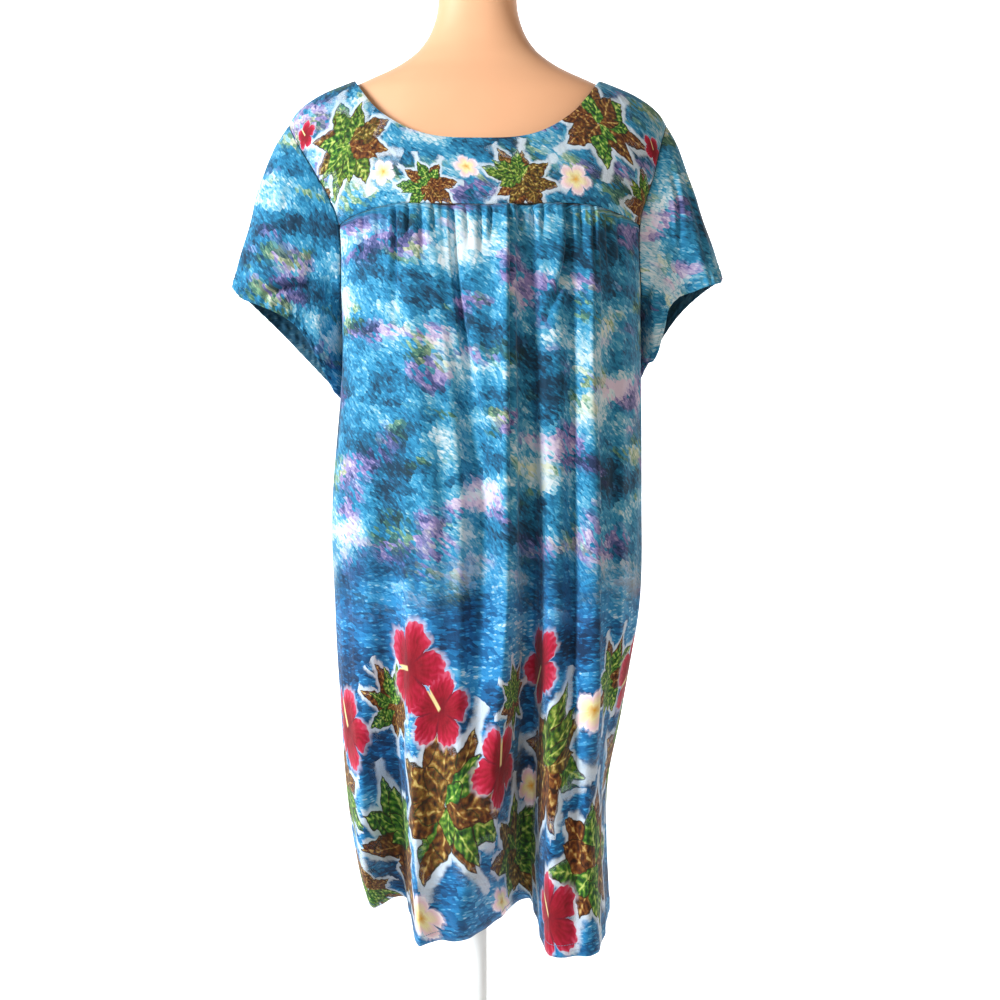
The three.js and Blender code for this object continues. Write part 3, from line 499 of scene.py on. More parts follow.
def print_colour(shade):
    """Colour of the print at a place of the cloth, and that place."""
    flat = shade.node("ShaderNodeUVMap", {"uv_map": "cloth"})
    dab = shade.node("ShaderNodeUVMap", {"uv_map": "dabs"})
    bristles = dab.turned(36).noise(1.0, 2.0, (150.0, 620.0)) - 0.5

    tint, _, place = dabs_of(dab, *BROAD_DABS)
    value = (cloud_at(place, 8.0, 3.0) - 0.5) * 2.3 + (tint.part("X") - 0.5) * 0.28 + 0.475
    pale = random_dabs(dab, PALE_DABS, 0.62, (0.45, 0.25))
    dark = random_dabs(dab, DARK_DABS, 0.68, (0.45, 0.25))
    value = value + pale * 0.17 - dark * 0.15 + bristles * 0.34
    upper = value.ramp(BLUES)
    lilac = cloud_at(place, 7.5, 2.0, (7.1, 2.3, 0)).step(0.55, 0.64) * (tint.part("Y") > 0.2)
    upper = (lilac * 0.80).blend(upper, (value + 0.06).ramp(LILACS))
    olive = cloud_at(place, 8.5, 2.0, (1.4, 9.6, 0)).step(0.56, 0.66) * (tint.part("Z") > 0.35)
    upper = (olive * 0.75).blend(upper, value.ramp(OLIVES))

    tint, _, place = dabs_of(dab, *LEVEL_DABS)
    value = (cloud_at(place, 6.5, 3.0, (3.3, 0.2, 0)) - 0.5) * 1.6 + (tint.part("X") - 0.5) * 0.32 + 0.335
    value = value + random_dabs(dab, PALE_TIPS, 0.60, (0.42, 0.22)) * 0.24 + bristles * 0.2
    level = dab.part("Y").step(LEVEL_FROM, LEVEL_BELOW)
    ground = level.blend(upper, value.ramp(COBALTS))

    # Leaf sprays: three rings of pointed leaves, brown and green, each with a pale midrib, side
    # veins, brushed streaks and a dark edge, and a pale wash round the outermost
    spot = shade.node("ShaderNodeAttribute", {"attribute_name": "print_leaf"}, None, "Vector")
    seed = spot.part("Z")
    ripple = spot.vector("ADD", (3.0, 5.0, 0)).noise(2.6, 3.0, out="Color")
    ripple = ripple.vector("SUBTRACT", (0.5, 0.5, 0.5)).vector("MULTIPLY", (0.20, 0.20, 0))
    bent = spot.vector("ADD", ripple)
    strokes = spot.noise(1.0, 5.0, (11.0, 11.0))
    for *ring, brown_share in LEAF_RINGS:
        outside, aside, along_leaf, random = leaves_of(shade, bent, seed, *ring)
        if ring[0] == LEAF_RINGS[0][0]:
            wash = (outside + (strokes - 0.5) * 0.10).step(0.13, 0.045) * (along_leaf < 1.10)
            ground = (wash * 0.84).blend(ground, (0.70, 0.77, 0.84, 1))
        ribs = ((along_leaf - aside * 0.9) * 62.0).math("SINE")
        tone = strokes * 1.30 + ribs * 0.13 - 0.17 + aside.step(0.022, 0.0) * 0.34
        leaf = ((random * 7.31).math("FRACT") < brown_share).blend(tone.ramp(GREENS), tone.ramp(BROWNS))
        leaf = outside.step(-0.030, -0.012).blend(leaf, (0.028, 0.012, 0.005, 1))
        ground = outside.step(0.004, -0.008).blend(ground, leaf)

    # Blossoms: five broad crimson petals with pale rims and streaks, and a pale stamen
    spot = shade.node("ShaderNodeAttribute", {"attribute_name": "print_blossom"}, None, "Vector")
    x, y, kind = spot.part("X"), spot.part("Y"), spot.part("Z")
    radius = (x * x + y * y).math("SQRT")
    ripple = spot.noise(3.4, 2.0) - 0.5
    angle = y.math("ARCTAN2", x)
    petal = (angle * 2.5 + ripple * 0.7).math("SINE").math("ABSOLUTE")
    frill = (angle * 31.0).math("SINE") * 0.018
    edge = radius / ((petal ** 0.5) * 0.40 + 0.50 + ripple * 0.22 + frill)
    inside = edge.step(0.98, 0.955)
    streak = (angle * 30.0 + ripple * 12.0).math("SINE") * radius.step(0.12, 0.7)
    red = (edge ** 2.2 * 0.52 + streak * 0.075 + ripple * 0.45 + 0.16).ramp(CRIMSONS)
    crease = petal.step(0.30, 0.02) * radius.step(0.10, 0.35)
    red = (crease * 0.9).blend(red, (0.15, 0.002, 0.012, 1))
    is_pale = kind > 0.5
    petals = is_pale.blend(red, (edge * 0.9 + ripple * 0.4).ramp(CREAMS))
    stamen = (x - y * 0.25).math("ABSOLUTE").step(0.06, 0.03) * y.step(-0.02, 0.04) * y.step(0.86, 0.78)
    stamen = stamen * (1 - is_pale)
    petals = stamen.blend(petals, (0.85, 0.66, 0.30, 1))
    rosy = edge.step(1.14, 0.98) * (1 - inside)
    ground = (rosy * 0.45).blend(ground, (0.84, 0.66, 0.78, 1))
    return inside.blend(ground, petals), flat


YARN = 0.00062  # distance between threads, in metres


def weave(shade, flat, shader):
    """Plain weave, slightly slubby yarn and fine crumples, in the surface's relief and roughness."""
    scaled = flat.vector("MULTIPLY", (1 / YARN, 1 / YARN, 1))
    across, down = scaled.part("X") * math.pi, scaled.part("Y") * math.pi
    knots = across.math("SINE") * down.math("SINE")
    slub = flat.noise(1.0, 2.0, (160.0, 900.0))
    crumple = flat.noise(1.0, 4.0, (34.0, 22.0))
    fine = {"Height": knots * 0.5 + slub, "Strength": 0.2, "Distance": 0.0002}
    fine = shade.node("ShaderNodeBump", None, fine)
    soft = {"Height": crumple, "Strength": 0.62, "Distance": 0.005, "Normal": fine}
    joined(shade.node("ShaderNodeBump", None, soft), shader, "Normal")
    joined(slub * 0.16 + 0.72, shader, "Roughness")


printed_cotton, shader, shade = material("printed_cotton", sheen_weight=0.12, sheen_roughness=0.5)
shader.inputs["Specular IOR Level"].default_value = 0.25
colour, flat = print_colour(shade)
joined(colour, shader, "Base Color")
weave(shade, flat, shader)

cotton_wrong_side_painted_shade, shader, shade = material("cotton_wrong_side_painted_shade", sheen_weight=0.1, sheen_roughness=0.5)
shader.inputs["Specular IOR Level"].default_value = 0.2
colour, flat = print_colour(shade)
# The inner side shows the print darkened to about a fifth, with a dark teal tint added. This is painted
# shade, for the insides of the cuffs and the hem, which lie in shadow.
dull = colour.vector("MULTIPLY", (0.30, 0.34, 0.36)).vector("MULTIPLY", (0.55, 0.55, 0.55))
wrong_side_in_painted_shade = dull.vector("ADD", (0.45 * 0.014, 0.45 * 0.055, 0.45 * 0.085))
joined(wrong_side_in_painted_shade, shader, "Base Color")
weave(shade, flat, shader)

# Motifs: place on the cut cloth, radius and turn. The last number is a leaf spray's seed, or 1 for
# a pale blossom and 0 for a crimson one.
YOKE_LEAVES = {
    FRONT: [
        (-0.185, 1.296, 0.079, 0.6, 3.7), (0.17, 1.315, 0.077, 2.4, 2.2), (0.045, 1.232, 0.054, 4, 3.1),
        (-0.075, 1.225, 0.044, 1.2, 4.6), (0.225, 1.225, 0.051, 5, 0.4), (-0.25, 1.24, 0.038, 3, 5.5)],
    BACK: [
        (-0.17, 1.3, 0.077, 0.9, 2), (-0.02, 1.285, 0.074, 2, 4.2), (0.15, 1.31, 0.077, 3.6, 1.1),
        (0.07, 1.232, 0.046, 5, 3.3), (-0.1, 1.225, 0.046, 1.7, 0.2)]}
YOKE_BLOSSOMS = {
    FRONT: [
        (0.112, 1.232, 0.024, 0.4, 1), (-0.135, 1.245, 0.02, 1.4, 1), (-0.02, 1.25, 0.018, 2.4, 1),
        (0.255, 1.3, 0.022, 0.4, 0), (-0.262, 1.33, 0.022, 0.9, 0)],
    BACK: [
        (0.02, 1.345, 0.022, 0.4, 0), (-0.09, 1.35, 0.018, 1.4, 1), (0.21, 1.235, 0.024, 2, 0),
        (-0.21, 1.235, 0.02, 0.5, 1)]}

YOKE_FLAT_START = 1.2  # where the yoke's seam lies along the printed cloth, in metres
YOKE_ROWS, NECK_COLUMNS, SHOULDER_COLUMNS = 64, 111, 25
ROW_PACKING = 1.35  # rows lie closer together towards the neck
SEAM_ROLL, NECK_ROLL = 2.2, 0.9  # how far the cloth turns in at the seam and at the neck
ROLL_REACH, NECK_ROLL_REACH = 7, 6

shoulder_share = np.linspace(0, 1, SHOULDER_COLUMNS + 1)[:-1]
tip = along(BODY, SHOULDER_TIP, HALF)
neck_share = NECK_HALF_WIDTH / tip
neck = neck_share * np.sin(np.linspace(-np.pi / 2, np.pi / 2, NECK_COLUMNS))
shoulder = 1 - (1 - neck_share) * shoulder_share
shares = np.concatenate([-shoulder, neck, shoulder[::-1]])
levels = np.linspace(SHOULDER_TIP, BODY[-1, 0], 800)
outline = along(BODY, levels, HALF)
for side, way, name in ((FRONT, -1, "front_yoke"), (BACK, 1, "back_yoke")):
    aside = np.abs(shares) * tip
    scoop = NECK_LOW[side] + (NECK_POINT - NECK_LOW[side]) * (aside / NECK_HALF_WIDTH) ** NECK_CURVE
    over = np.interp(np.minimum(aside, tip - 0.2), outline[::-1], levels[::-1])
    top = np.where(aside < NECK_HALF_WIDTH - 0.01, scoop, over)
    drop = np.linspace(0, 1, YOKE_ROWS)[:, None] ** ROW_PACKING
    seam = SEAM + along(SEAM_CURVE, np.abs(shares), 1)[None] + SEAM_GAP / 2
    height = top[None] + (seam - top[None]) * drop
    centre = along(BODY, height, CENTRE)
    wide = np.where(height > SHOULDER_TIP - 0.3, tip, armhole_aside(height, side))
    x = centre + shares[None] * wide
    half = along(BODY, height, HALF)
    share = np.minimum(np.abs(x - centre) / half, 1)
    depth = along(BODY, height, side) * (1 - share ** SECTION_POWER) ** (1 / SECTION_POWER)
    below = height - seam
    above = top[None] - height
    is_neck = soft_step(NECK_HALF_WIDTH - aside, -4, 6)[None]
    depth += (SEAM_GAP - WALL) / 2 - SEAM_ROLL * (1 - soft_step(below, 0, ROLL_REACH))
    depth -= NECK_ROLL * is_neck * (1 - soft_step(above, 0, NECK_ROLL_REACH))
    depth += 0.5 * hill(below, ROLL_REACH, 4)
    grid = np.stack([x, way * depth, height], 2)
    if way > 0:
        grid = grid[:, ::-1]
    lengths = np.cumsum(np.linalg.norm(np.diff(grid, axis=0), axis=2), 0)
    lengths = np.concatenate([np.zeros((1, grid.shape[1])), lengths])
    up = YOKE_FLAT_START + (lengths[-1:] - lengths) / 1000
    flat = np.stack([flat_widths(grid), up], 2)
    dabs = flat + (FIRST_FLAT[name][0], 0)
    motifs = {"print_leaf": YOKE_LEAVES[side], "print_blossom": YOKE_BLOSSOMS[side]}
    piece = shell(name + "_cloth", grid, flat, dabs, motifs)
    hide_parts(name)


# ------------------------------------------------------------
# The panels: a wide front and back of the same cotton, gathered into the yoke seam and sewn
# together down the sides. They hang in long uneven folds to a narrow turned hem.

FOLD_COLUMNS = "yoke waist hem at_yoke at_waist at_hem left right hem_left hem_right".split()
# Folds of each panel: x at the yoke, waist and hem, then the height at each, then the widths of
# the left and right slopes, above the waist and at the hem
FOLDS = {
    FRONT: [
        (-150, -102, -100, 0, -3, -146, 40, 22, 60, 34), (-92, -58, -40, 3, 9, -40, 22, 26, 46, 60),
        (-34, 6, 0, -6, -20, -8, 26, 22, 30, 28), (38, 41, 30, 5, 13, 5, 22, 16, 26, 20),
        (64, 70, 69, -5, -28, -172, 24, 20, 106, 19), (100, 99, 97, 3, 5, 12, 16, 20, 20, 30),
        (118, 118, 122, -4, -12, -3, 14, 14, 16, 16), (150, 145, 148, 3, 13, 44, 20, 14, 62, 22),
        (176, 172, 166, -2, -10, -4, 16, 12, 14, 12)],
    BACK: [
        (-150, -146, -112, 0, -10, -60, 24, 22, 34, 26), (-104, -100, -82, 3, 8, 10, 22, 20, 26, 22),
        (-58, -48, -36, -5, -20, -92, 26, 22, 42, 26), (0, 10, 16, 4, 10, 12, 24, 22, 30, 28),
        (52, 62, 66, -5, -22, -108, 22, 26, 28, 44), (108, 114, 112, 3, 9, 12, 20, 20, 24, 24),
        (158, 160, 148, 0, -9, -34, 20, 20, 26, 22)]}
WAIST, HEM = 840.0, 300.0
SIDE_HOLD = 0.1


def through_waist(height, yoke, waist, hem):
    high = yoke + (waist - yoke) * np.clip((SEAM - height) / (SEAM - WAIST), 0, 1)
    t = np.clip((WAIST - height) / (WAIST - HEM), 0, None)
    return np.where(height >= WAIST, high, waist + (hem - waist) * (0.35 * t + 0.65 * t * t))


def bump(distance, width):
    return 0.5 + 0.5 * np.cos(np.pi * np.minimum(np.abs(distance) / width, 1))


def folds_at(folds, x, height):
    total = np.zeros_like(x)
    for fold in folds:
        f = dict(zip(FOLD_COLUMNS, fold))
        line = through_waist(height, f["yoke"], f["waist"], f["hem"])
        size = through_waist(height, f["at_yoke"], f["at_waist"], f["at_hem"])
        left = through_waist(height, f["left"], f["left"], f["hem_left"])
        right = through_waist(height, f["right"], f["right"], f["hem_right"])
        total += size * bump(x - line, np.where(x < line, left, right))
    return total


# Creases that start in the yoke seam's gathers: x at the seam, x at the end, length down, depth,
# half width, and how far the line bows sideways
CREASES = {
    FRONT: [
        (-144, -146, 70, 2.6, 7, 0), (-126, -124, 52, 2.2, 6, 2), (-102, -101, 135, 3.8, 6, 1),
        (-84, -84, 48, 2.8, 6, 0), (-68, -62, 70, 2.4, 7, -2), (-53, -50, 40, 2.2, 6, 0),
        (-30, 12, 300, 4.2, 8, -7), (-13, -8, 60, 2.4, 6, 0), (6, 8, 66, 2.6, 7, 0),
        (19, 18, 46, 2.4, 5, 0), (42, 43, 470, 4.2, 5, 0), (54, 56, 36, 2.4, 6, 0), (70, 71, 64, 3, 6, 1),
        (84, 82, 44, 2.2, 6, 0), (113, 82, 150, 4.6, 8, 14), (130, 132, 54, 2.6, 6, 0),
        (147, 148, 330, 3.4, 5, 0), (165, 168, 80, 2.6, 6, 0), (180, 184, 90, 2.4, 6, 0)],
    BACK: [
        (-170, -172, 90, 2.6, 7, 0), (-150, -146, 60, 2.6, 6, 1), (-128, -132, 150, 3.6, 7, -3),
        (-108, -106, 54, 2.6, 6, 0), (-90, -84, 90, 3, 7, 3), (-66, -58, 260, 4.2, 7, 3),
        (-44, -44, 60, 2.6, 6, 0), (-24, -20, 110, 3.2, 7, -2), (-4, -4, 50, 2.4, 6, 0),
        (16, 12, 180, 3.8, 7, -4), (38, 40, 60, 2.6, 6, 0), (58, 66, 320, 4.2, 7, 4),
        (82, 80, 56, 2.6, 6, 0), (104, 108, 120, 3.2, 7, 2), (128, 126, 64, 2.6, 6, 0),
        (150, 156, 170, 3.6, 7, 2), (176, 178, 80, 2.6, 6, 0), (192, 194, 60, 2.2, 6, 0)]}


def creases_at(table, x, below):
    """Depth of the gathers' creases at a place, with a soft swell beside each one."""
    total = np.zeros_like(x)
    for start, end, length, depth, width, bow in table:
        t = np.clip(below / length, 0, 1)
        line = start + (end - start) * t + bow * np.sin(np.pi * t)
        open_out = width * 0.72 * (1 + 0.5 * t)
        fade = soft_step(below, -2, 8) * (1 - soft_step(below, 0.5 * length, 1.15 * length))
        off = (x - line) / open_out
        swell = 0.50 * hill(off, -1.15, 0.75) + 0.40 * hill(off, 1.15, 0.65)
        total += 1.45 * depth * fade * (swell - np.exp(-(off * 1.9) ** 2))
    return total


# Long folded edges: x at the seam, x at the end, the lengths down at which it starts and ends, its
# height, and the widths of its left and right slopes
RIDGES = {
    FRONT: [
        (41, 41, 0, 480, 6, 22, 5), (148, 146, 40, 760, 8, 38, 7), (-78, -84, 180, 520, 3, 20, 9)],
    BACK: [
        (-52, -46, 0, 540, 6, 8, 26), (72, 74, 30, 640, 7, 30, 8), (150, 148, 120, 520, 4, 9, 22)]}


def ridges_at(table, x, below):
    total = np.zeros_like(x)
    for start, end, first, last, height, left, right in table:
        line = start + (end - start) * np.clip(below / last, 0, 1)
        fade = soft_step(below, first - 2, first + 40) * (1 - soft_step(below, last - 200, last))
        off = x - line
        slope = np.clip(1 - np.abs(off) / np.where(off < 0, left, right), 0, 1)
        total += height * fade * slope ** 1.4
    return total


PANEL_LEAVES = {
    FRONT: [
        (-0.425, 0.47, 0.083, 0.3, 1.2), (-0.285, 0.395, 0.111, 2.2, 4), (-0.11, 0.475, 0.123, 1, 2.6),
        (0.055, 0.385, 0.105, 4.4, 0.8), (0.185, 0.52, 0.115, 2.9, 3.4), (0.33, 0.4, 0.101, 0.2, 5.2),
        (0.455, 0.515, 0.091, 3.7, 1.9), (-0.25, 0.585, 0.063, 5.4, 0.5), (0.02, 0.6, 0.054, 1.9, 2),
        (0.33, 0.62, 0.063, 0.8, 4.4), (-0.44, 0.335, 0.063, 2.6, 3)],
    BACK: [
        (-0.4, 0.42, 0.105, 1.3, 3.2), (-0.24, 0.5, 0.115, 0.2, 1), (-0.08, 0.4, 0.107, 3.2, 2),
        (0.08, 0.53, 0.121, 2.2, 5), (0.24, 0.41, 0.111, 4.2, 0.6), (0.4, 0.5, 0.105, 5.2, 2.4),
        (-0.15, 0.62, 0.06, 2.2, 3.9), (0.22, 0.62, 0.063, 0.9, 1.5)]}
PANEL_BLOSSOMS = {
    FRONT: [
        (-0.015, 0.52, 0.062, 0.3, 0), (-0.19, 0.64, 0.067, 1.9, 0), (-0.135, 0.59, 0.054, 0.9, 0),
        (0.12, 0.64, 0.059, 2.8, 0), (0.245, 0.345, 0.057, 1.2, 0), (-0.36, 0.555, 0.059, 0.5, 0),
        (-0.19, 0.335, 0.036, 0.4, 1), (0.265, 0.59, 0.032, 2, 1), (0.405, 0.62, 0.059, 2.4, 0),
        (-0.03, 0.325, 0.032, 0, 1), (0.1, 0.47, 0.032, 4, 1), (-0.47, 0.61, 0.032, 1, 1)],
    BACK: [
        (-0.32, 0.61, 0.065, 0.6, 0), (-0.16, 0.34, 0.057, 1.8, 0), (0, 0.62, 0.067, 2.6, 0),
        (0.16, 0.345, 0.054, 0.6, 0), (0.33, 0.61, 0.065, 3.6, 0), (-0.02, 0.48, 0.032, 3, 1),
        (0.33, 0.36, 0.032, 0.7, 1), (-0.43, 0.54, 0.032, 0.7, 1)]}
def run_along(x, y):
    """Length along a line of points, up to each one."""
    return np.concatenate([[0], np.cumsum(np.hypot(np.diff(x), np.diff(y)))])


ROWS, COLUMNS, FINE_ROWS, SIDE_COLUMNS = 150, 300, 420, 14
PANEL_ROLL = 2.0
DAB_STRETCH = 1.08
# Widths of the cut panels, in metres: drawn into the yoke seam, and at the hem
TOP_WIDTH, HEM_WIDTH = 0.72, {FRONT: 1.02, BACK: 0.88}
panels = {}
spread = np.linspace(0, 1, ROWS)
row_heights = SEAM - (SEAM - HEM) * (0.62 * spread + 0.38 * spread ** 1.7)
for side, way, name in ((FRONT, -1, "front_panel"), (BACK, 1, "back_panel")):
    fine_heights = np.linspace(SEAM + 10, HEM, FINE_ROWS)
    fine = np.zeros((FINE_ROWS, COLUMNS, 3))
    for r, height in enumerate(fine_heights):
        depth, half = along(BODY, height, side), along(BODY, height, HALF)
        widest = aside_at(armhole_depth(height, side), half, depth)
        start = math.asin((widest / half) ** (SECTION_POWER / 2))
        turn = np.linspace(-start, start, 1201)
        aside = half * np.sign(turn) * np.abs(np.sin(turn)) ** (2 / SECTION_POWER)
        plain = depth * np.abs(np.cos(turn)) ** (2 / SECTION_POWER)
        x = along(BODY, height, CENTRE) + aside
        run = run_along(x, plain)
        share = run / run[-1]
        hold = soft_step(np.minimum(share, 1 - share), 0, SIDE_HOLD)
        out = plain + hold * folds_at(FOLDS[side], x, height) + SEAM_GAP / 2
        run = run_along(x, out)
        even = np.linspace(0, run[-1], COLUMNS)
        fine[r, :, 0] = np.interp(even, run, x)
        fine[r, :, 1] = way * np.interp(even, run, out)
        fine[r, :, 2] = height
    grid = np.zeros((ROWS, COLUMNS, 3))
    for c in range(COLUMNS):
        aside = np.interp(row_heights, fine_heights[::-1], fine[::-1, c, 0])
        aside -= along(BODY, row_heights, CENTRE)
        share = np.clip(np.abs(aside) / armhole_aside(row_heights, side), 0, 1)
        fade = np.clip(1 - (SEAM - row_heights) / SEAM_FADE, 0, 1) ** 2
        wanted = row_heights + fade * along(SEAM_CURVE, share, 1)
        for axis in range(3):
            grid[:, c, axis] = np.interp(wanted, fine_heights[::-1], fine[::-1, c, axis])
    if way > 0:
        grid = grid[:, ::-1]
    normals = grid_normals(grid)
    normals *= np.sign((normals[..., 1] * way).mean())
    edge = np.clip(np.minimum(np.arange(COLUMNS), np.arange(COLUMNS)[::-1]) / SIDE_COLUMNS, 0, 1)[None]
    below = np.broadcast_to(SEAM - row_heights[:, None], grid.shape[:2])
    above_hem = grid[..., 2] - HEM
    lift = creases_at(CREASES[side], grid[..., 0], below) + ridges_at(RIDGES[side], grid[..., 0], below)
    share = np.linspace(0, 1, COLUMNS)[None] + 0 * below
    lift += 0.8 * np.sin(share * 61 + 2.2 * np.sin(below / 210)) * soft_step(below, 20, 200)
    lift += 0.5 * np.sin(share * 131 + 1.7 * np.sin(below / 120 + share * 9)) * soft_step(below, 60, 300)
    slant = np.sin(below / 61 + share * 14 + 2.0 * np.sin(share * 21))
    lift += 0.9 * slant * np.sin(share * 29 + below / 130) * soft_step(below, 60, 260)
    lift *= edge
    small = np.sin(share * 236 + 2.4 * np.sin(share * 37)) * (0.7 + 0.3 * np.sin(share * 83))
    patchy = 0.35 + 0.65 * soft_step(np.sin(share * 29 + 1.3) + 0.5 * np.sin(share * 67), -0.6, 0.6)
    reach = np.exp(-below / (11 + 5 * np.sin(share * 51)))
    lift += 1.1 * edge * small * patchy * soft_step(below, -1, 4) * reach
    lift += 0.25 * hill(above_hem, 10, 7) - 0.45 * hill(above_hem, 21, 3)
    lift += 0.5 * np.sin(share * 210) * hill(above_hem, 14, 12)
    lift -= PANEL_ROLL * (1 - soft_step(below, 0, ROLL_REACH))
    grid = grid + normals * (lift - WALL / 2)[..., None]
    grid[0, :, 2] -= SEAM_GAP / 2
    wide = TOP_WIDTH + (HEM_WIDTH[side] - TOP_WIDTH) * spread[:, None]
    flat = np.stack([(share - 0.5) * wide, np.broadcast_to(row_heights[:, None] / 1000, share.shape)], 2)
    dabs = np.stack([flat_widths(grid) * DAB_STRETCH + FIRST_FLAT[name][0], flat[..., 1]], 2)
    motifs = {"print_leaf": PANEL_LEAVES[side], "print_blossom": PANEL_BLOSSOMS[side]}
    piece = shell(name + "_cloth", grid, flat, dabs, motifs)
    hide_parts(name)
    panels[side] = (piece, grid, normals)


# ------------------------------------------------------------
# The sleeves: short flared tubes set into the armholes, slack on top, each ending in a narrow
# turned hem that puckers a little along its stitching.

# Rings of each sleeve: the top's distance out and height, the underside's, how far back the
# underside lies, and the reach to the front and to the back
SLEEVES = {
    -1: [
        (273, 1314, 188, 1102, 6, 64, 62), (292, 1266, 187, 1084, 18, 68, 64),
        (304, 1221, 185, 1052, 28, 70, 66), (318, 1172, 184, 1014, 34, 68, 66),
        (331, 1127, 183, 974, 38, 66, 66)],
    1: [
        (268, 1318, 224, 1102, 6, 62, 62), (285, 1270, 223, 1086, 18, 66, 64),
        (300, 1227, 221, 1056, 28, 68, 66), (316, 1180, 220, 1022, 34, 66, 66),
        (330, 1138, 219, 990, 38, 64, 66)]}
# Folds: middle and reach in degrees round from the top by the front, and the move of the cuff's edge
SLEEVE_FOLDS = {
    -1: [(62, 26, 6), (108, 30, -7), (240, 34, -9), (290, 30, 6)],
    1: [(48, 26, 5), (92, 30, -18), (121, 14, -9), (142, 24, 8), (246, 34, -10)]}
# Lifts of the cuff's edge: middle, reach before and after it in degrees, and the rise
SLEEVE_LIFTS = {
    -1: [(106, 66, 50, 38)],
    1: [(112, 84, 22, 58), (142, 24, 38, 22), (270, 90, 90, 24)]}
SLEEVE_ROWS, SLEEVE_COLUMNS = 90, 240
CUFF_PUCKERS = 42
# Creases of a sleeve: degrees round and share down of both ends, depth, half width in degrees
SLEEVE_CREASES = {
    -1: [
        (117, 0.48, 73, 0.92, 7.5, 5), (70, 0.12, 88, 0.5, 1.6, 8), (120, 0.15, 108, 0.75, 2, 7),
        (142, 0.1, 134, 0.8, 2.4, 6), (230, 0.1, 250, 0.8, 2.6, 9), (300, 0.2, 285, 0.9, 2.2, 9)],
    1: [
        (62, 0.12, 84, 0.6, 3, 8), (100, 0.4, 66, 0.72, 3.4, 7), (40, 0.3, 52, 0.98, 2, 8),
        (130, 0.1, 118, 0.8, 2.6, 8), (235, 0.1, 252, 0.8, 2.6, 9), (300, 0.2, 288, 0.9, 2.2, 9)]}
SLEEVE_LENGTH = 215.0
MEAN_RADIUS = 0.074  # of the sleeve, in metres, for the places of its print
BODY_CLEARANCE = 1.4
UNDERSIDE, UNDERSIDE_REACH = 182, 34  # degrees round over which the sleeve lies against the dress
ARMHOLE_ROLL = 1.3
NO_MOTIF = [(9.0, 9.0, 0.05, 0.0, 0.0)]


def smooth_loft(rings, rows):
    """Rings of points joined by a smooth curve through each column."""
    rings = np.array(rings)
    place = np.concatenate([[0], np.cumsum(np.linalg.norm(np.diff(rings, axis=0), axis=2).mean(1))])
    wanted = np.linspace(0, place[-1], rows)
    slopes = np.gradient(rings, place, axis=0)
    i = np.clip(np.searchsorted(place, wanted, side="right") - 1, 0, len(place) - 2)
    span = place[i + 1] - place[i]
    t = ((wanted - place[i]) / span)[:, None, None]
    span = span[:, None, None]
    return smooth_between(t, span, rings[i], rings[i + 1], slopes[i], slopes[i + 1]), wanted / place[-1]


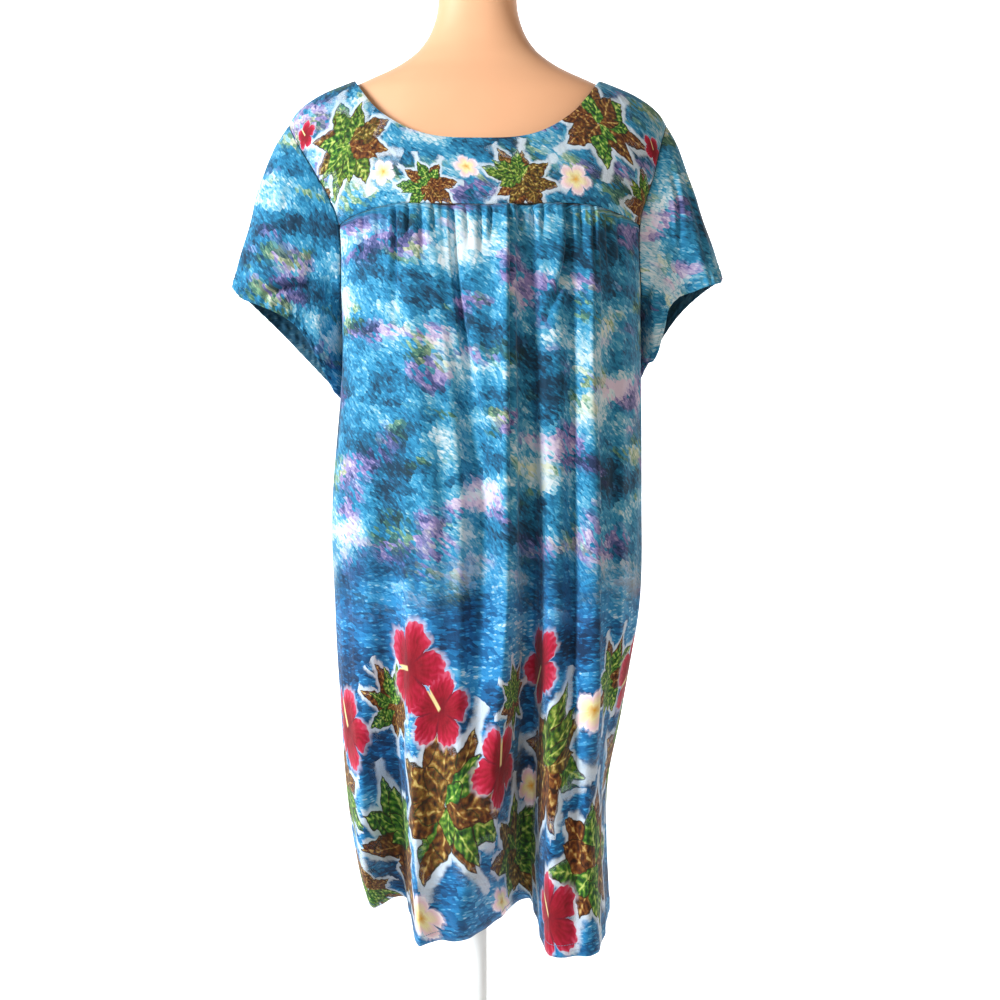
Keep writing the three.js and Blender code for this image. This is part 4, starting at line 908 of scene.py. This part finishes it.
sleeves = {}
for side, name in ((-1, "left_sleeve"), (1, "right_sleeve")):
    turn = np.linspace(np.pi, 3 * np.pi, SLEEVE_COLUMNS, endpoint=False)
    degrees = np.degrees(turn) % 360
    front = np.sin(turn) >= 0
    height = (SHOULDER_TIP + UNDERARM + (SHOULDER_TIP - UNDERARM) * np.cos(turn)) / 2
    aside = np.where(front, armhole_aside(height, FRONT), armhole_aside(height, BACK))
    depth = np.where(front, ARMHOLE[FRONT], ARMHOLE[BACK]) * np.sin(turn)
    x = along(BODY, height, CENTRE) + side * (aside + ARMHOLE_GAP)
    rings = [np.stack([x, -depth, height], 1)]
    for r, ring in enumerate(SLEEVES[side]):
        top_out, top_high, under_out, under_high, under_back, fore, aft = ring
        share = (r + 1) / len(SLEEVES[side])
        top = np.array([side * top_out, 0, top_high], float)
        under = np.array([side * under_out, under_back, under_high], float)
        centre = (top + under) / 2
        points = centre + (top - centre) * np.cos(turn)[:, None]
        points[:, 1] -= np.sin(turn) * np.where(front, fore, aft)
        out = points - centre
        out /= np.linalg.norm(out, axis=1, keepdims=True)
        for middle, before, after, rise in SLEEVE_LIFTS[side]:
            off = degrees - middle
            points[:, 2] += rise * share * share * bump(off, np.where(off < 0, before, after))
        for middle, reach, move in SLEEVE_FOLDS[side]:
            points += out * (move * share * share * bump(degrees - middle, reach))[:, None]
        rings.append(points)
    grid, down = smooth_loft(rings, SLEEVE_ROWS)
    if side > 0:
        grid = grid[:, ::-1]
        degrees = degrees[::-1]
    normals = grid_normals(grid, True)
    outward = grid - grid.mean(1, keepdims=True)
    normals *= np.sign((normals * outward).sum(2).mean())
    down = down[:, None] + np.zeros(SLEEVE_COLUMNS)[None]
    angle = np.radians(degrees)[None]
    lift = np.zeros_like(down)
    for first, begin, last, end, size, width in SLEEVE_CREASES[side]:
        t = np.clip((down - begin) / (end - begin), 0, 1)
        off = (degrees[None] - (first + (last - first) * t)) / width
        fade = soft_step(down, begin - 0.08, begin + 0.1) * (1 - soft_step(down, end - 0.2, end + 0.08))
        lift += size * fade * (0.5 * hill(np.abs(off), 1.4, 0.7) - np.exp(-off * off * 2.0))
    from_cuff = (1 - down) * SLEEVE_LENGTH
    lift += 1.5 * np.cos(angle * CUFF_PUCKERS + 2 * np.sin(angle * 3)) * hill(from_cuff, 13, 7)
    lift += 0.6 * np.cos(angle * CUFF_PUCKERS) * hill(from_cuff, 0, 9)
    lift -= 1.2 * hill(from_cuff, 14, 2.5)
    lift += 0.6 * np.sin(down * 17 + angle * 2) * np.sin(angle * 5) * soft_step(down, 0.1, 0.5)
    lift -= ARMHOLE_ROLL * (1 - soft_step(down, 0, 0.03))
    grid = grid + normals * (lift - WALL / 2)[..., None]
    grid[0, :, 0] = rings[0][::-1, 0] if side > 0 else rings[0][:, 0]
    grid[0, :, 0] -= SEAM_GAP * side
    high = grid[..., 2]
    body_depth = np.where(grid[..., 1] < 0, along(BODY, high, FRONT), along(BODY, high, BACK))
    body_aside = aside_at(np.abs(grid[..., 1]), along(BODY, high, HALF), body_depth)
    body_side = along(BODY, high, CENTRE) + side * (body_aside + BODY_CLEARANCE)
    near = bump(degrees[None] - UNDERSIDE, UNDERSIDE_REACH) * soft_step(down, 0.0, 0.06)
    grid[..., 0] += near * (body_side - grid[..., 0])
    wrapped = np.concatenate([grid, grid[:, :1]], 1)
    axis = grid[-1].mean(0) - grid[0].mean(0)
    axis /= np.linalg.norm(axis)
    beside = np.array([-axis[2], 0, axis[0]]) * side
    from_middle = wrapped - grid[0].mean(0)
    around = np.unwrap(np.arctan2(-from_middle[..., 1], from_middle @ beside), axis=1)
    around -= 2 * np.pi * np.round(around[:, SLEEVE_COLUMNS // 2] / (2 * np.pi))[:, None]
    flat = np.stack([around * side * -MEAN_RADIUS, 1.25 - from_middle @ axis / 1000], 2)
    dabs = flat + np.array(FIRST_FLAT[name])
    piece = shell(name + "_cloth", wrapped, flat, dabs, {"print_leaf": NO_MOTIF, "print_blossom": NO_MOTIF})
    piece.data.validate()
    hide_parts(name)
    sleeves[side] = (piece, grid, normals)


# ------------------------------------------------------------
# The stitching: one row of blue thread along the hem of the skirt and of each sleeve, sewn
# through the turned edge. Each stitch is a short six-sided length of thread.

thread, shader, shade = material("blue_thread", roughness=0.6, sheen_weight=0.15)
place = shade.place()
twist = (place.part("X") * 5200.0 + place.part("Z") * 7400.0).math("SINE")
joined((twist * 0.3 + 0.5).blend((0.03, 0.16, 0.30, 1), (0.10, 0.32, 0.46, 1)), shader, "Base Color")
bumpy(twist, shader, 0.4, 0.0001)

STITCH_SPACING, STITCH_LENGTH, THREAD_RADIUS = 0.0034, 0.0023, 0.00032
THREAD_RISE = 0.12  # of the thread's middle over the cloth, in millimetres
SKIRT_HEM, SLEEVE_HEM = 14.0, 13.0  # how far above the edges the rows run, in millimetres

row = bpy.data.node_groups.new("row_of_stitches", "GeometryNodeTree")
row.interface.new_socket("Path", in_out="INPUT", socket_type="NodeSocketGeometry")
for socket_name, kind in (("Spacing", "Float"), ("Length", "Float"), ("Radius", "Float"),
                          ("Seed", "Int"), ("Thread", "Material")):
    row.interface.new_socket(socket_name, in_out="INPUT", socket_type="NodeSocket" + kind)
row.interface.new_socket("Stitches", in_out="OUTPUT", socket_type="NodeSocketGeometry")
given, curve, spots, stitch, uneven, placed, real, coloured, result = (row.nodes.new(kind) for kind in (
    "NodeGroupInput", "GeometryNodeMeshToCurve", "GeometryNodeCurveToPoints", "GeometryNodeMeshCylinder",
    "FunctionNodeRandomValue", "GeometryNodeInstanceOnPoints", "GeometryNodeRealizeInstances",
    "GeometryNodeSetMaterial", "NodeGroupOutput"))
spots.mode = "LENGTH"
stitch.inputs["Vertices"].default_value = 6
uneven.data_type = "FLOAT_VECTOR"
uneven.inputs["Min"].default_value, uneven.inputs["Max"].default_value = (0.85, 0.85, 0.8), (1.15, 1.1, 1.1)
for start, leaving, end, entering in (
        (given, "Path", curve, "Mesh"), (curve, "Curve", spots, "Curve"),
        (given, "Spacing", spots, "Length"), (given, "Radius", stitch, "Radius"),
        (given, "Length", stitch, "Depth"), (given, "Seed", uneven, "Seed"),
        (spots, "Points", placed, "Points"), (stitch, "Mesh", placed, "Instance"),
        (spots, "Rotation", placed, "Rotation"), (uneven, "Value", placed, "Scale"),
        (placed, "Instances", real, "Geometry"), (real, "Geometry", coloured, "Geometry"),
        (given, "Thread", coloured, "Material"), (coloured, "Geometry", result, "Stitches")):
    row.links.new(start.outputs[leaving], end.inputs[entering])


def stitched(name, path, seed):
    """A closed row of stitches along a path of points in millimetres."""
    count = len(path)
    guide = added(name + "_guide", path, [])
    ends = np.stack([np.arange(count), (np.arange(count) + 1) % count], 1)
    guide.data.edges.add(count)
    guide.data.edges.foreach_set("vertices", ends.ravel())
    sewing = guide.modifiers.new("sewing", "NODES")
    sewing.node_group = row
    values = {"Spacing": STITCH_SPACING, "Length": STITCH_LENGTH, "Radius": THREAD_RADIUS, "Seed": seed,
              "Thread": thread}
    for item in row.interface.items_tree:
        if item.in_out == "INPUT" and item.name in values:
            sewing[item.identifier] = values[item.name]
    sewn = bpy.data.meshes.new_from_object(guide.evaluated_get(bpy.context.evaluated_depsgraph_get()))
    bpy.data.objects.remove(guide)
    piece = bpy.data.objects.new(name, sewn)
    scene.collection.objects.link(piece)
    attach(piece, "root")
    return piece


def row_on(grid, normals, rise):
    """Points over a grid at a height above the last row, measured down its columns in millimetres."""
    lengths = np.linalg.norm(np.diff(grid, axis=0), axis=2)[::-1].cumsum(0)
    over = np.concatenate([np.zeros((1, grid.shape[1])), lengths])
    surface = (grid + normals * (COTTON * 500 + THREAD_RISE))[::-1]
    path = np.zeros((grid.shape[1], 3))
    for c in range(grid.shape[1]):
        for axis in range(3):
            path[c, axis] = np.interp(rise, over[:, c], surface[:, c, axis])
    return path


halves = [row_on(panels[side][1], panels[side][2], SKIRT_HEM) for side in (FRONT, BACK)]
skirt_stitches = stitched("skirt_hem_stitches", np.concatenate([halves[0][1:-1], halves[1][1:-1]]), 3)
sleeve_stitches = {side: stitched(name, row_on(sleeves[side][1], sleeves[side][2], SLEEVE_HEM), 5 + side)
                   for side, name in ((-1, "left_hem_stitches"), (1, "right_hem_stitches"))}
